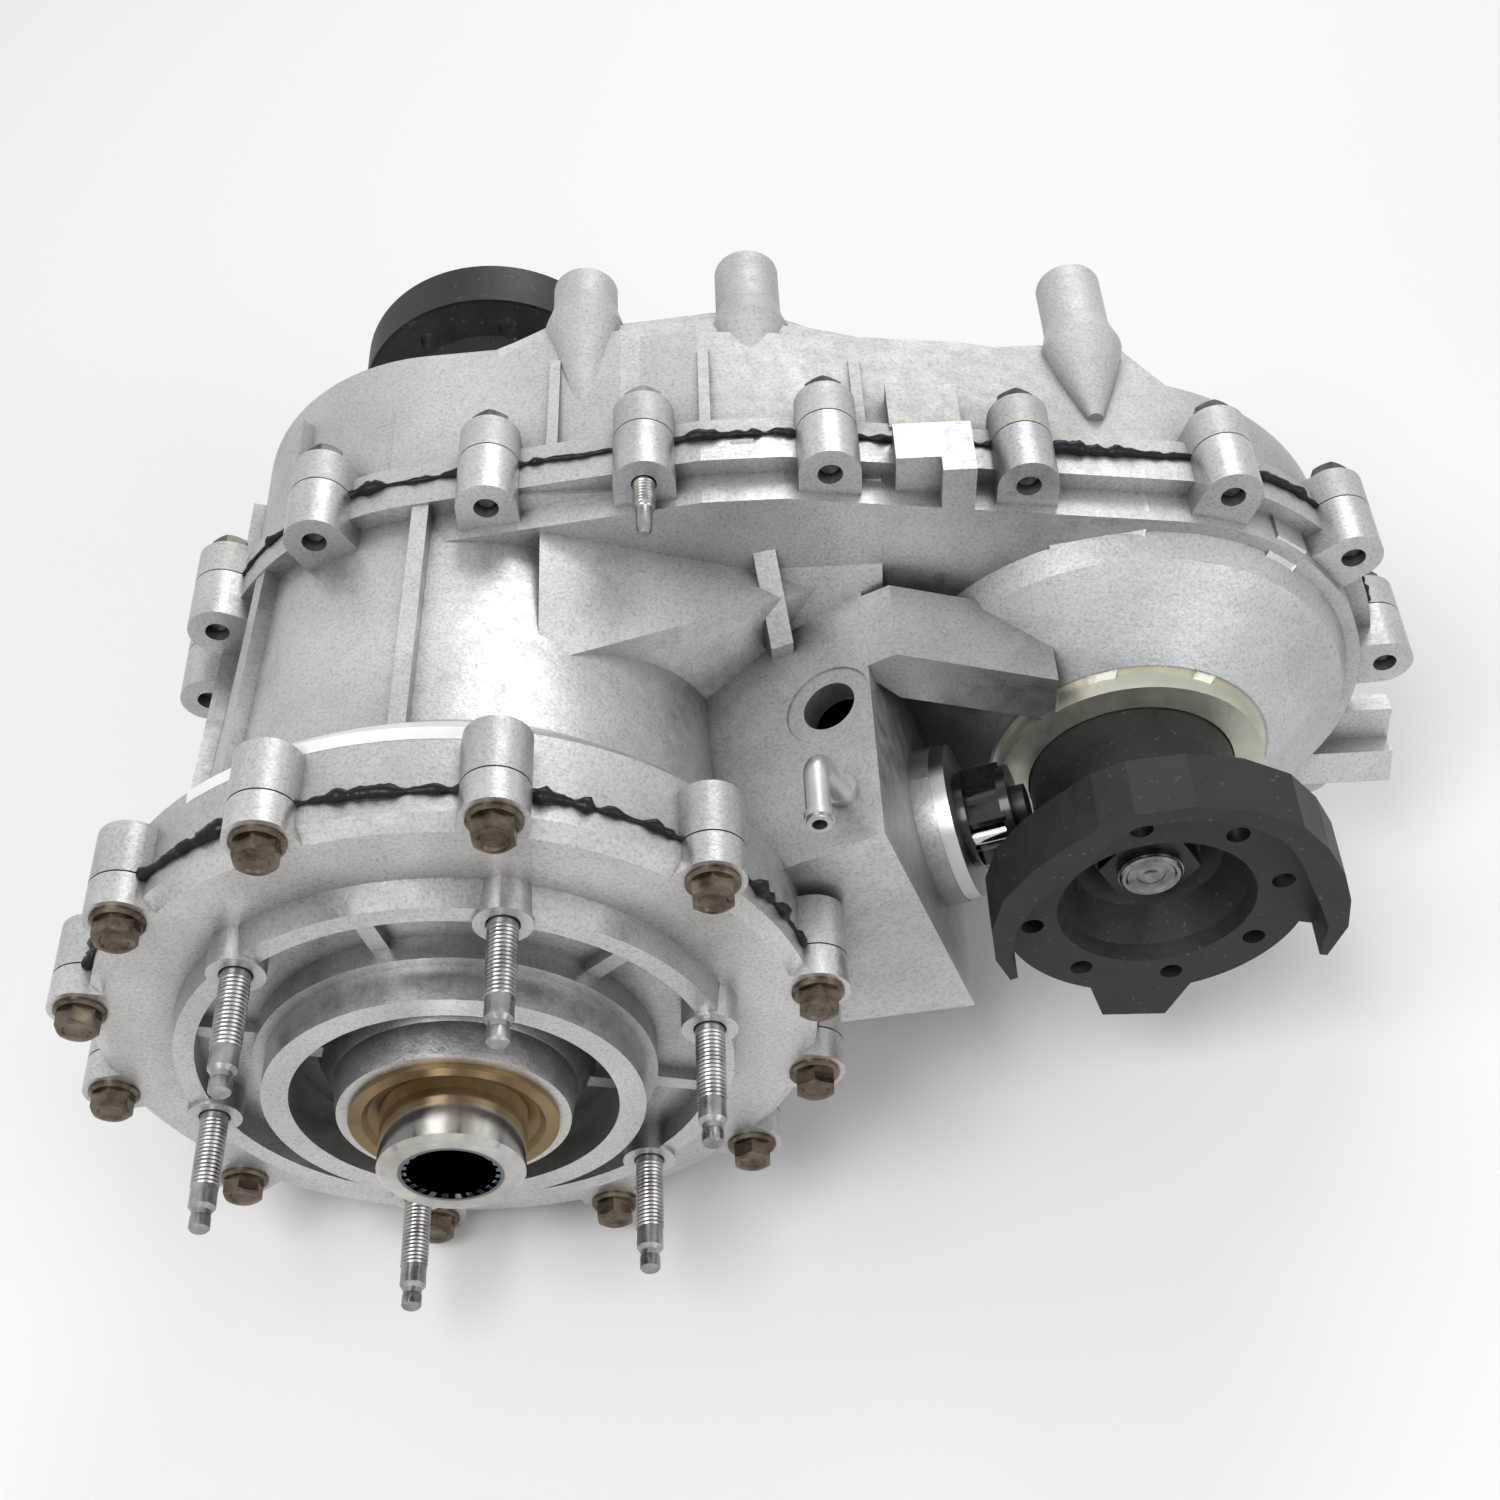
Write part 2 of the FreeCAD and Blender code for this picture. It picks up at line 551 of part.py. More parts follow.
def make_front_case():
    lobe = turned([
        (0, LOBE_FRONT_Y - 4), (BOSS_R + 3, LOBE_FRONT_Y - 4), (LOBE_R - 12, LOBE_Y - 8), (LOBE_R, LOBE_Y), (RAIL_R_OUT - RAIL_STEP, SPLIT_Y - RAIL_DEPTH),
        (RAIL_R_OUT - RAIL_STEP, SPLIT_Y - 2), (0, SPLIT_Y - 2),
    ], OUT_X, OUT_Z)
    boss = cyl(BOSS_R, BOSS_Y, LOBE_Y, OUT_X, OUT_Z)
    barrel = turned([
        (0, RETAINER_JOINT_Y + SEALANT / 2), (BARREL_RIM_R, RETAINER_JOINT_Y + SEALANT / 2),
        (BARREL_RIM_R, BARREL_RIM_Y - 6), (BARREL_RIM_R - 5, BARREL_RIM_Y),
        (BARREL_R + 2, BARREL_SHOULDER_Y), (RAIL_R_IN - RAIL_STEP, SPLIT_Y - RAIL_DEPTH),
        (RAIL_R_IN - RAIL_STEP, SPLIT_Y - 2), (0, SPLIT_Y - 2),
    ])
    rail = outline_slab(0, SPLIT_Y - RAIL_DEPTH, SPLIT_Y - SEALANT / 2)
    wall = outline_slab(-RAIL_STEP, SPLIT_Y - 26, SPLIT_Y - 2)
    block = slab(block_section(0), BLOCK_Y0, BLOCK_Y1 + 10)
    slope = plate_x([
        (SPLIT_Y - 14, CROWN_Z - RAIL_STEP - 4), (BLOCK_Y1 - 6, 36.0), (BLOCK_Y1 - 6, -60.0),
        (SPLIT_Y - 4, -60.0), (SPLIT_Y - 4, CROWN_Z - RAIL_STEP - 4),
    ], 20.0, RIDGE_X + 8)
    saddle = fuse([facet(points, SADDLE_DEPTH) for points in (
        (SADDLE_LEFT, SADDLE_RIGHT, SADDLE_BACK_LEFT), (SADDLE_RIGHT, SADDLE_BACK_RIGHT, SADDLE_BACK_LEFT),
        (SADDLE_LEFT, SADDLE_FOOT, SADDLE_RIGHT),
    )])
    shelf = slab([
        (RIDGE_X - 4, RIDGE_Z - 2), (RIDGE_X + 10, RIDGE_Z + 5), (OUT_X - 32, OUT_Z + 56),
        (OUT_X - 32, OUT_Z + 34), (RIDGE_X + 12, RIDGE_Z - 18),
    ], BOSS_Y, LOBE_Y + 4)
    pad = side_cyl(SWITCH_PAD_R, -SECTOR_STAND - 4, -SWITCH_DISC_T)
    strap = Part.makeLoft([
        Part.makePolygon([V(103, SPLIT_Y - 3, CROWN_Z + 1), V(111, SPLIT_Y - 3, CROWN_Z + 1),
                          V(111, SPLIT_Y - 3, CROWN_Z - 14), V(103, SPLIT_Y - 3, CROWN_Z - 14),
                          V(103, SPLIT_Y - 3, CROWN_Z + 1)]),
        Part.makePolygon([V(114, BLOCK_Y1 - 12, 50), V(122, BLOCK_Y1 - 12, 53),
                          V(122, BLOCK_Y1 - 12, 30), V(114, BLOCK_Y1 - 12, 30),
                          V(114, BLOCK_Y1 - 12, 50)]),
    ], True)
    bracket_left = slab([(160.2, 84.7), (177, 84.7), (177, 115.3), (160.2, 115.3)], SPLIT_Y - 19, SPLIT_Y - 1)
    bracket_right = slab([(176, 72), (187.8, 72), (187.8, 115.3), (176, 115.3)], SPLIT_Y - 26, SPLIT_Y - 1)
    lug = plate_x([
        (184, -40), (174, -38), (171, -52), (162, -50), (157, -63), (184, -66),
    ], 306.0, 365.0)
    pieces = [barrel, lobe, boss, rail, wall, block, slope, saddle, shelf, pad, strap, bracket_left, bracket_right, lug]
    for x, z, inward in EARS:
        pieces.append(ear(x, z, inward, EAR_R, SPLIT_Y - EAR_FRONT_DEPTH, SPLIT_Y - SEALANT / 2, 16.0))
    for angle in BOLT_ANGLES:
        x, z = polar(BOLT_CIRCLE_R, angle)
        pieces.append(ear(x, z, angle + 180, EAR_R, RETAINER_JOINT_Y + SEALANT / 2, CASE_EAR_END_Y, 10.0))
    for angle in BARREL_RIB_ANGLES:
        rib = plate_x([
            (BARREL_RIM_Y - 4, BARREL_R - 6), (BARREL_RIM_Y - 4, BARREL_R + BARREL_RIB_H),
            (SPLIT_Y - 2, BARREL_R + BARREL_RIB_H - 6), (SPLIT_Y - 2, BARREL_R - 10),
        ], -BARREL_RIB_T / 2, BARREL_RIB_T / 2)
        pieces.append(turn(rib, angle - 90))
    for inner, outer in BOSS_FACETS:
        near = [polar(BOSS_R - 2, angle, OUT_X, OUT_Z) for angle in inner]
        far = [polar(RAIL_R_OUT - 6, angle, OUT_X, OUT_Z) for angle in outer]
        rise = SPLIT_Y - RAIL_DEPTH - 10
        top = [V(near[0][0], BOSS_Y + 4, near[0][1]), V(near[1][0], BOSS_Y + 4, near[1][1])]
        low = [V(far[1][0], rise, far[1][1]), V(far[0][0], rise, far[0][1])]
        pieces.append(prism(top + low, V(0, SPLIT_Y - 4 - rise, 0)))
    body = fuse(pieces)

    cavity_r = RAIL_R_IN - RAIL_STEP - WALL + 3
    hollow = turned([
        (0, RETAINER_JOINT_Y - 2), (BARREL_RIM_R - 12, RETAINER_JOINT_Y - 2), (BARREL_RIM_R - 12, GEAR_Y - 3),
        (RING_GEAR_R, GEAR_Y - 3), (RING_GEAR_R, GEAR_Y + GEAR_W + 1), (RING_GEAR_R - 4, GEAR_Y + GEAR_W + 1),
        (RING_GEAR_R - 4, GEAR_Y + GEAR_W + 6), (cavity_r, BARREL_SHOULDER_Y + 4), (cavity_r, SPLIT_Y + 2),
        (0, SPLIT_Y + 2),
    ])
    lobe_hollow = turned([
        (0, LOBE_Y + 6), (LOBE_R - 14, LOBE_Y + 6), (LOBE_R - 7, LOBE_Y + 14),
        (RAIL_R_OUT - RAIL_STEP - 5, SPLIT_Y - RAIL_DEPTH), (RAIL_R_OUT - RAIL_STEP - 5, SPLIT_Y + 2), (0, SPLIT_Y + 2),
    ], OUT_X, OUT_Z)
    chain_room = outline_slab(-RAIL_STEP - 6, SPLIT_Y - 20, SPLIT_Y + 2)
    block_room = slab(block_section(WALL), BLOCK_Y0 + WALL + 1, SPLIT_Y - 10)
    room = fuse([hollow, lobe_hollow, chain_room, block_room])
    body = body.cut(room)
    inner = [
        cyl(OUT_FRONT_BEARING_R + 8, BOSS_Y + 20, OUT_FRONT_BEARING_Y + OUT_BEARING_W + 3, OUT_X, OUT_Z),
        cyl(RAIL_R + 5, BLOCK_Y0 + 1, RAIL_Y0 + 15, RAIL_AXIS.x, RAIL_AXIS.z),
        Part.makeCylinder(PORT_R + 4, WALL + 4, on_top(PORT_Y, PORT_DOWN, -WALL - 4), TOP_NORMAL),
    ]
    body = body.fuse(inner[0]).fuse(inner[1]).fuse(inner[2])
    seat_y = OUT_FRONT_BEARING_Y
    holes = [
        cyl(BOSS_BORE_R, BOSS_Y - 1, BOSS_Y + FLANGE_ENTRY + 1 + OUT_SEAL_W, OUT_X, OUT_Z),
        cyl(FLANGE_SEAL_R + 3, BOSS_Y, seat_y + 1, OUT_X, OUT_Z),
        cyl(OUT_FRONT_BEARING_R, seat_y, SPLIT_Y, OUT_X, OUT_Z),
        cyl(RAIL_R, RAIL_Y0, RAIL_Y0 + 16, RAIL_AXIS.x, RAIL_AXIS.z),
        side_cyl(SECTOR_SHAFT_R + RUN, -SECTOR_STAND - WALL - 6, 1),
        Part.makeCylinder(PORT_R, WALL + 10, on_top(PORT_Y, PORT_DOWN, -WALL - 6), TOP_NORMAL),
        Part.makeCylinder(PORT_FACE_R, 4, on_top(PORT_Y, PORT_DOWN, -0.8), TOP_NORMAL),
        Part.makeCylinder(VENT_R, WALL + 4, on_top(VENT_Y, VENT_DOWN, -WALL - 2), TOP_NORMAL),
    ]
    for x, z, inward in EARS:
        holes.append(cyl(BOLT_R + BOLT_CLEARANCE, SPLIT_Y - EAR_FRONT_DEPTH - 1, SPLIT_Y + 1, x, z))
    for x, z in DOWELS:
        holes.append(cyl(DOWEL_R, SPLIT_Y - DOWEL_L / 2, SPLIT_Y + 1, x, z))
    for angle in BOLT_ANGLES:
        x, z = polar(BOLT_CIRCLE_R, angle)
        holes.append(cyl(BOLT_R, RETAINER_JOINT_Y - 1, CASE_EAR_END_Y - 4, x, z))
    for hole in holes:
        body = body.cut(hole)
    return body


def rear_wall_y(x):
    return REAR_WALL_Y + REAR_WALL_SLOPE * (x - REAR_WALL_X)


def sloped_outline(offset, y0, back):
    """Outline prism from y0 to the leaning back wall, moved rearwards by back."""
    body = outline_slab(offset, y0, SPLIT_Y + 110)
    far = 500.0
    cutter = Part.Face(Part.makePolygon([
        V(-far, rear_wall_y(-far) + back, -far), V(far, rear_wall_y(far) + back, -far),
        V(far, SPLIT_Y + 400, -far), V(-far, SPLIT_Y + 400, -far), V(-far, rear_wall_y(-far) + back, -far),
    ])).extrude(V(0, 0, 2 * far))
    return body.cut(cutter)


def make_rear_case():
    joint = SPLIT_Y + SEALANT / 2
    rail = outline_slab(0, joint, SPLIT_Y + REAR_RAIL_DEPTH)
    shell = sloped_outline(-REAR_STEP, joint, 0)
    tail = turned([
        (0, SPLIT_Y + 30), (TAIL_R + 22, SPLIT_Y + 30), (TAIL_R + 20, REAR_WALL_Y), (TAIL_R + 4, TAIL_Y - 22),
        (TAIL_R, TAIL_Y - 12), (TAIL_R, TAIL_Y), (0, TAIL_Y),
    ])
    pieces = [rail, shell, tail]
    out_back = rear_wall_y(OUT_X)
    pieces.append(cyl(OUT_REAR_BEARING_R + 10, SPLIT_Y + 10, out_back + 5, OUT_X, OUT_Z))
    for x, z, end in MOUNT_BOSSES:
        wall_y = rear_wall_y(x)
        pieces.append(turned([
            (0, SPLIT_Y + 26), (3, SPLIT_Y + 26), (MOUNT_BOSS_R - 1, wall_y - 4), (MOUNT_BOSS_R + 3, wall_y + 10),
            (MOUNT_BOSS_R, wall_y + 22), (MOUNT_BOSS_R, end), (0, end),
        ], x, z))
        pieces.append(plate_x([
            (SPLIT_Y + 30, z - 6), (end - 26, z - 6), (end - 26, z - MOUNT_BOSS_R - 4),
            (wall_y - 2, z - MOUNT_BOSS_R - 24), (SPLIT_Y + 30, z - MOUNT_BOSS_R - 24),
        ], x - 4, x + 4))
    for top, back in ((BRIDGE_Z, 0.0), (BRIDGE_Z + 4, 6.0), (BRIDGE_Z + 6.5, 12.0)):
        edge = [V(x, y - back, top - BRIDGE_T) for x, y in BRIDGE_EDGE]
        foot = (BRIDGE_EDGE[-1][0], BRIDGE_EDGE[0][0])
        start = [V(x, SPLIT_Y + 4, top - BRIDGE_T) for x in foot]
        shelf = Part.Face(Part.makePolygon(edge + start + [edge[0]])).extrude(V(0, 0, BRIDGE_T))
        pieces.append(shelf.common(outline_slab(-REAR_STEP + 1, SPLIT_Y, SPLIT_Y + 120)))
    for x, z, inward in EARS:
        pieces.append(ear(x, z, inward, EAR_R, joint, SPLIT_Y + EAR_REAR_DEPTH, 16.0))
    pieces.append(slab([(160, 98), (186, 97), (186, 106), (160, 108)], SPLIT_Y + 6, SPLIT_Y + 30))
    for x in REAR_RIB_X:
        top = crown_height(max(x, 20.0)) - REAR_STEP
        pieces.append(plate_x([
            (SPLIT_Y + 2, top - 8), (SPLIT_Y + 2, top + 5), (rear_wall_y(x) - 12, top + 2), (rear_wall_y(x) - 12, top - 8),
        ], x - 2, x + 2))
    for angle in (132, 163, 190, 221, 250):
        rib = plate_x([
            (SPLIT_Y + 2, RAIL_R_IN - 12), (SPLIT_Y + 2, RAIL_R_IN - 2), (REAR_WALL_Y - 4, RAIL_R_IN - 3),
            (REAR_WALL_Y - 4, RAIL_R_IN - 12),
        ], -2.0, 2.0)
        pieces.append(turn(rib, angle - 90))
    for px, pz in PLUGS:
        pieces.append(cyl(15.0, rear_wall_y(px) - 12, rear_wall_y(px) + 4, px, pz))
    body = fuse(pieces)

    room = sloped_outline(-REAR_STEP - 5, SPLIT_Y - 1, -7)
    body = body.cut(room)
    back = cyl(REAR_BEARING_R + 8, PUMP_Y + PUMP_W, rear_wall_y(0) - 3)
    out_cup = cyl(OUT_REAR_BEARING_R + 6, OUT_REAR_BEARING_Y - 1, out_back + 1, OUT_X, OUT_Z)
    rail_cup = cyl(RAIL_R + 6, RAIL_Y1 - 10, rear_wall_y(RAIL_AXIS.x) - 2, RAIL_AXIS.x, RAIL_AXIS.z)
    body = fuse([body, back, out_cup, rail_cup])
    holes = [
        cyl(REAR_BEARING_R, PUMP_Y + PUMP_W, REAR_BEARING_Y + REAR_BEARING_W),
        cyl(FLANGE_SEAL_R + 3, SPLIT_Y + 20, TAIL_Y),
        cyl(BOSS_BORE_R, TAIL_Y - FLANGE_ENTRY - 1 - OUT_SEAL_W, TAIL_Y + 1),
        cyl(OUT_REAR_BEARING_R, OUT_REAR_BEARING_Y - 2, OUT_REAR_BEARING_Y + OUT_BEARING_W, OUT_X, OUT_Z),
        cyl(RAIL_R, RAIL_Y1 - 12, RAIL_Y1, RAIL_AXIS.x, RAIL_AXIS.z),
    ]
    for x, z, end in MOUNT_BOSSES:
        holes.append(cyl(MOUNT_BOSS_HOLE_R, end - MOUNT_BOSS_HOLE_DEPTH, end + 1, x, z))
    for x, z, inward in EARS:
        holes.append(cyl(BOLT_R + BOLT_CLEARANCE, SPLIT_Y - 1, SPLIT_Y + EAR_REAR_DEPTH + 1, x, z))
    for x, z in DOWELS:
        holes.append(cyl(DOWEL_R, SPLIT_Y - 1, SPLIT_Y + DOWEL_L / 2, x, z))
    for px, pz in PLUGS:
        holes.append(cyl(PLUG_R, rear_wall_y(px) - 20, rear_wall_y(px) + 5, px, pz))
    for hole in holes:
        body = body.cut(hole)
    return body


PLUG_R = 9.0
PLUGS = ((178.0, -20.0), (178.0, -72.0))


def make_plugs():
    plugs = []
    for px, pz in PLUGS:
        seat = rear_wall_y(px) + 4
        plug = fuse([cyl(PLUG_R, seat - 14, seat, px, pz), cyl(12.5, seat, seat + 4, px, pz)])
        plugs.append(plug.cut(hexagon(10.0, seat - 3, seat + 5, px, pz)))
    return group(plugs)


def make_retainer():
    front = RETAINER_FACE_Y
    back = RETAINER_JOINT_Y - SEALANT / 2
    bearing_back = INPUT_BEARING_Y + INPUT_BEARING_W + SNAP_W
    body = turned([
        (SEAL_R, HUB_Y), (HUB_R, HUB_Y), (HUB_R + 2, HUB_Y + 12), (HUB_R + 8, 6), (PILOT_BORE_R, 8),
        (PILOT_BORE_R, PILOT_Y), (PILOT_R, PILOT_Y), (PILOT_R, PILOT_STEP_Y), (PILOT_BASE_R, PILOT_STEP_Y),
        (PILOT_BASE_R, 10), (STUD_RING_BORE_R, 10), (STUD_RING_BORE_R, 1.5), (STUD_RING_R, 1.5),
        (STUD_RING_R + 1, front), (RIM_R - 5, front), (RIM_R, front + 4), (RIM_R, back),
        (BARREL_RIM_R - 12 - RUN, back), (BARREL_RIM_R - 12 - RUN, back + 4), (BARREL_RIM_R - 18, back + 4),
        (BARREL_RIM_R - 18, 18), (INPUT_BEARING_R + 9, 16), (INPUT_BEARING_R + 7, bearing_back),
        (INPUT_BEARING_R, bearing_back), (INPUT_BEARING_R, INPUT_BEARING_Y), (INPUT_JOURNAL_R + 5, INPUT_BEARING_Y),
        (INPUT_JOURNAL_R + 5, HUB_Y + SEAL_DEPTH), (SEAL_R, HUB_Y + SEAL_DEPTH),
    ])
    pieces = [body]
    for angle in BOLT_ANGLES:
        x, z = polar(BOLT_CIRCLE_R, angle)
        pieces.append(ear(x, z, angle + 180, EAR_R, front, back, 10.0))
    for k in range(STUD_COUNT):
        x, z = polar(STUD_CIRCLE_R, STUD_ANGLE + 60 * k)
        pieces.append(cyl(STUD_BOSS_R, 0, front + 2, x, z))
    for k in range(RETAINER_RIBS):
        rib = plate_x([(3, HUB_R + 5), (3, PILOT_BORE_R + 2), (10, PILOT_BORE_R + 2), (10, HUB_R + 5)], -3.0, 3.0)
        rib = rib.fuse(plate_x([
            (6, PILOT_BASE_R - 1), (6, STUD_RING_BORE_R + 1), (12, STUD_RING_BORE_R + 1), (12, PILOT_BASE_R - 1),
        ], -3.0, 3.0))
        pieces.append(turn(rib, STUD_ANGLE + 30 + 60 * k - 90))
    body = fuse(pieces)
    for angle in BOLT_ANGLES:
        x, z = polar(BOLT_CIRCLE_R, angle)
        body = body.cut(cyl(BOLT_R + BOLT_CLEARANCE, front - 1, back + 1, x, z))
    for k in range(STUD_COUNT):
        x, z = polar(STUD_CIRCLE_R, STUD_ANGLE + 60 * k)
        body = body.cut(cyl(STUD_ROOT_R, -1, front + 1, x, z))
        sink = STUD_SINK_R - STUD_ROOT_R
        body = body.cut(turned([(0, -1), (STUD_SINK_R, -1), (STUD_SINK_R, 0), (STUD_ROOT_R, sink), (0, sink)], x, z))
    return body


# ================================================================ sealant, fasteners
def make_case_sealant():
    y0 = SPLIT_Y - SEALANT / 2
    y1 = SPLIT_Y + SEALANT / 2
    film = outline_slab(SEALANT_SQUEEZE, y0, y1).cut(outline_slab(-RAIL_STEP - 2, y0 - 1, y1 + 1))
    for x, z, inward in EARS:
        film = film.cut(cyl(BOLT_R + BOLT_CLEARANCE, y0 - 1, y1 + 1, x, z))
    for x, z in DOWELS:
        film = film.cut(cyl(DOWEL_R, y0 - 1, y1 + 1, x, z))
    return film


def make_dowels():
    return group([cyl(DOWEL_R, SPLIT_Y - DOWEL_L / 2, SPLIT_Y + DOWEL_L / 2, x, z) for x, z in DOWELS])


def make_retainer_sealant():
    y0 = RETAINER_JOINT_Y - SEALANT / 2
    y1 = RETAINER_JOINT_Y + SEALANT / 2
    film = tube(RIM_R + SEALANT_SQUEEZE, BARREL_RIM_R - 8, y0, y1)
    for angle in BOLT_ANGLES:
        x, z = polar(BOLT_CIRCLE_R, angle)
        film = film.cut(cyl(BOLT_R + BOLT_CLEARANCE, y0 - 1, y1 + 1, x, z))
    return film


def make_retainer_bolts():
    bolts = []
    shank = CASE_EAR_END_Y - 6 - RETAINER_FACE_Y
    for angle in BOLT_ANGLES:
        x, z = polar(BOLT_CIRCLE_R, angle)
        bolts.append(flange_bolt(x, z, RETAINER_FACE_Y, -1, shank))
    return group(bolts)


def make_case_bolts():
    bolts = []
    shank = EAR_REAR_DEPTH + EAR_FRONT_DEPTH - 4
    for k, (x, z, inward) in enumerate(EARS):
        if k != STUD_EAR:
            bolts.append(flange_bolt(x, z, SPLIT_Y + EAR_REAR_DEPTH, 1, shank))
    return group(bolts)


def make_case_stud():
    x, z, inward = EARS[STUD_EAR]
    seat = SPLIT_Y + EAR_REAR_DEPTH
    face = SPLIT_Y - EAR_FRONT_DEPTH
    end = face - CASE_STUD_THREAD
    head = flange_bolt(x, z, seat, 1, 4)
    shank = cyl(CASE_STUD_SHANK_R, face - 1, seat, x, z)
    thread = cyl(BOLT_R, end, face, x, z)
    point = cyl(CASE_STUD_POINT_R, end - CASE_STUD_POINT, end + 1, x, z)
    return fuse([head.cut(cyl(BOLT_R + 1, seat - 5, seat, x, z)), shank, thread, point])


def make_transmission_studs():
    studs = []
    for k in range(STUD_COUNT):
        x, z = polar(STUD_CIRCLE_R, STUD_ANGLE + 60 * k)
        root = cyl(STUD_ROOT_R, -1, RETAINER_FACE_Y, x, z)
        stem = cyl(STUD_R, -STUD_LENGTH + 6, 0, x, z)
        point = cyl(STUD_R - 1.4, -STUD_LENGTH, -STUD_LENGTH + 7, x, z)
        studs.append(fuse([root, stem, point]))
    return group(studs)


# ================================================================ bearings and seals
def bearing(r_out, r_in, y0, width, x=0.0, z=0.0):
    """Shielded ball bearing as one ring, its front shield lying back from the races."""
    race = (r_out - r_in) * 0.24
    dish = 1.2
    return turned([
        (r_in, y0), (r_in + race, y0), (r_in + race, y0 + dish), (r_out - race, y0 + dish), (r_out - race, y0),
        (r_out, y0), (r_out, y0 + width), (r_in, y0 + width),
    ], x, z)


def seal(r_out, r_in, y0, y1, proud, x=0.0, z=0.0):
    """Shaft seal: metal case with a lip ring; proud is the side that stands out, -1 or 1."""
    if proud < 0:
        profile = [(r_in + 4, y0 + 2), (r_in + 6, y0), (r_out, y0), (r_out, y1), (r_in + 5, y1), (r_in, y0 + 6), (r_in, y0 + 4)]
    else:
        profile = [(r_in + 4, y1 - 2), (r_in + 6, y1), (r_out, y1), (r_out, y0), (r_in + 5, y0), (r_in, y1 - 6), (r_in, y1 - 4)]
    return turned(profile, x, z)


# ================================================================ input gear and planetary
def make_input_gear():
    journal_end = INPUT_BEARING_Y + INPUT_BEARING_W + SNAP_W
    gear_end = GEAR_Y + GEAR_W - 3
    body = turned([
        (SPLINE_R, INPUT_END_Y), (INPUT_HUB_R - 1.5, INPUT_END_Y), (INPUT_HUB_R, INPUT_END_Y + 1.5),
        (INPUT_HUB_R, INPUT_BEARING_Y - 1), (INPUT_JOURNAL_R, INPUT_BEARING_Y - 1), (INPUT_JOURNAL_R, journal_end),
        (INPUT_JOURNAL_R + 6, journal_end + 1), (INPUT_JOURNAL_R + 6, GEAR_Y), (SUN_R - 5, GEAR_Y),
        (SUN_R - 5, gear_end), (DOG_TIP_R + 1.5, gear_end), (DOG_TIP_R + 1.5, RANGE_RING_Y - 3),
        (PILOT_NOSE_R + RUN, RANGE_RING_Y - 3), (PILOT_NOSE_R + RUN, 0), (SPLINE_R, 0),
    ])
    teeth = toothed(SUN_TEETH, gear_profile(SUN_TEETH, MODULE), GEAR_Y, gear_end)
    teeth = teeth.cut(cyl(SUN_R - 6, GEAR_Y - 1, gear_end + 1))
    body = body.fuse(teeth)
    socket = tube(DOG_TIP_R + 2, DOG_TIP_R - 8, RANGE_RING_Y - 2, gear_end).cut(dogs(RANGE_RING_Y - 3, gear_end + 1, DOG_CLEAR))
    body = body.fuse(socket)
    ribs = []
    for k in range(SPLINE_TEETH):
        rib = plate_x([
            (INPUT_END_Y + 1, SPLINE_R - SPLINE_HEIGHT), (INPUT_END_Y + 1, SPLINE_R + 0.6),
            (INPUT_END_Y + SPLINE_DEPTH, SPLINE_R + 0.6), (INPUT_END_Y + SPLINE_DEPTH, SPLINE_R - SPLINE_HEIGHT),
        ], -1.0, 1.0)
        ribs.append(turn(rib, 360.0 * k / SPLINE_TEETH))
    return body.multiFuse(ribs).removeSplitter()


def make_annulus():
    ring = cyl(RING_GEAR_R, GEAR_Y - 2, GEAR_Y + GEAR_W + 1)
    teeth = gear_profile(RING_TEETH, MODULE, True)
    hole = []
    for k in range(RING_TEETH):
        centre = ring_phase() + 360.0 * k / RING_TEETH
        for radius, offset in teeth:
            hole.append(polar(radius, centre + math.degrees(offset / radius)))
    return ring.cut(slab(hole, GEAR_Y - 3, GEAR_Y + GEAR_W + 2))


def planet_centres():
    return [polar(CARRIER_PITCH_R, PLANET_ANGLE + 360.0 * k / PLANETS) for k in range(PLANETS)]


def make_planet(index):
    angle = PLANET_ANGLE + 360.0 * index / PLANETS
    x, z = planet_centres()[index]
    gear = toothed(PLANET_TEETH, gear_profile(PLANET_TEETH, MODULE), GEAR_Y, GEAR_Y + GEAR_W, planet_phase(angle), x, z)
    return gear.cut(cyl(PLANET_PIN_R + RUN, GEAR_Y - 1, GEAR_Y + GEAR_W + 1, x, z))


def make_carrier():
    front = tube(CARRIER_R, INPUT_JOURNAL_R + 6 + GAP, CARRIER_FRONT_Y, CARRIER_FRONT_Y + CARRIER_FRONT_T)
    rear = cyl(CARRIER_R, CARRIER_REAR_Y, CARRIER_REAR_Y + CARRIER_REAR_T)
    rear = rear.cut(dogs(CARRIER_REAR_Y - 1, CARRIER_REAR_Y + CARRIER_REAR_T + 1, DOG_CLEAR))
    webs = []
    for k in range(PLANETS):
        angle = PLANET_ANGLE + 360.0 * (k + 0.5) / PLANETS
        x, z = polar(CARRIER_PITCH_R, angle)
        web = slab([(-8, -11), (8, -11), (8, 11), (-8, 11)], CARRIER_FRONT_Y + 1, CARRIER_REAR_Y + 1)
        web = turn(web, angle)
        web.translate(V(x, 0, z))
        webs.append(web)
    body = fuse([front, rear] + webs)
    for x, z in planet_centres():
        body = body.cut(cyl(PLANET_PIN_R, CARRIER_FRONT_Y - 1, CARRIER_REAR_Y + CARRIER_REAR_T + 1, x, z))
    return body


def make_planet_pins():
    pins = [cyl(PLANET_PIN_R, CARRIER_FRONT_Y, CARRIER_REAR_Y + CARRIER_REAR_T, x, z) for x, z in planet_centres()]
    return group(pins)


# ================================================================ clutches, forks, sector
RANGE_GROOVE_Y = CARRIER_REAR_Y + CARRIER_REAR_T + 12.0
MODE_RING_Y = CHAIN_Y - 9.0
MODE_GROOVE_Y = MODE_RING_Y - 14.0


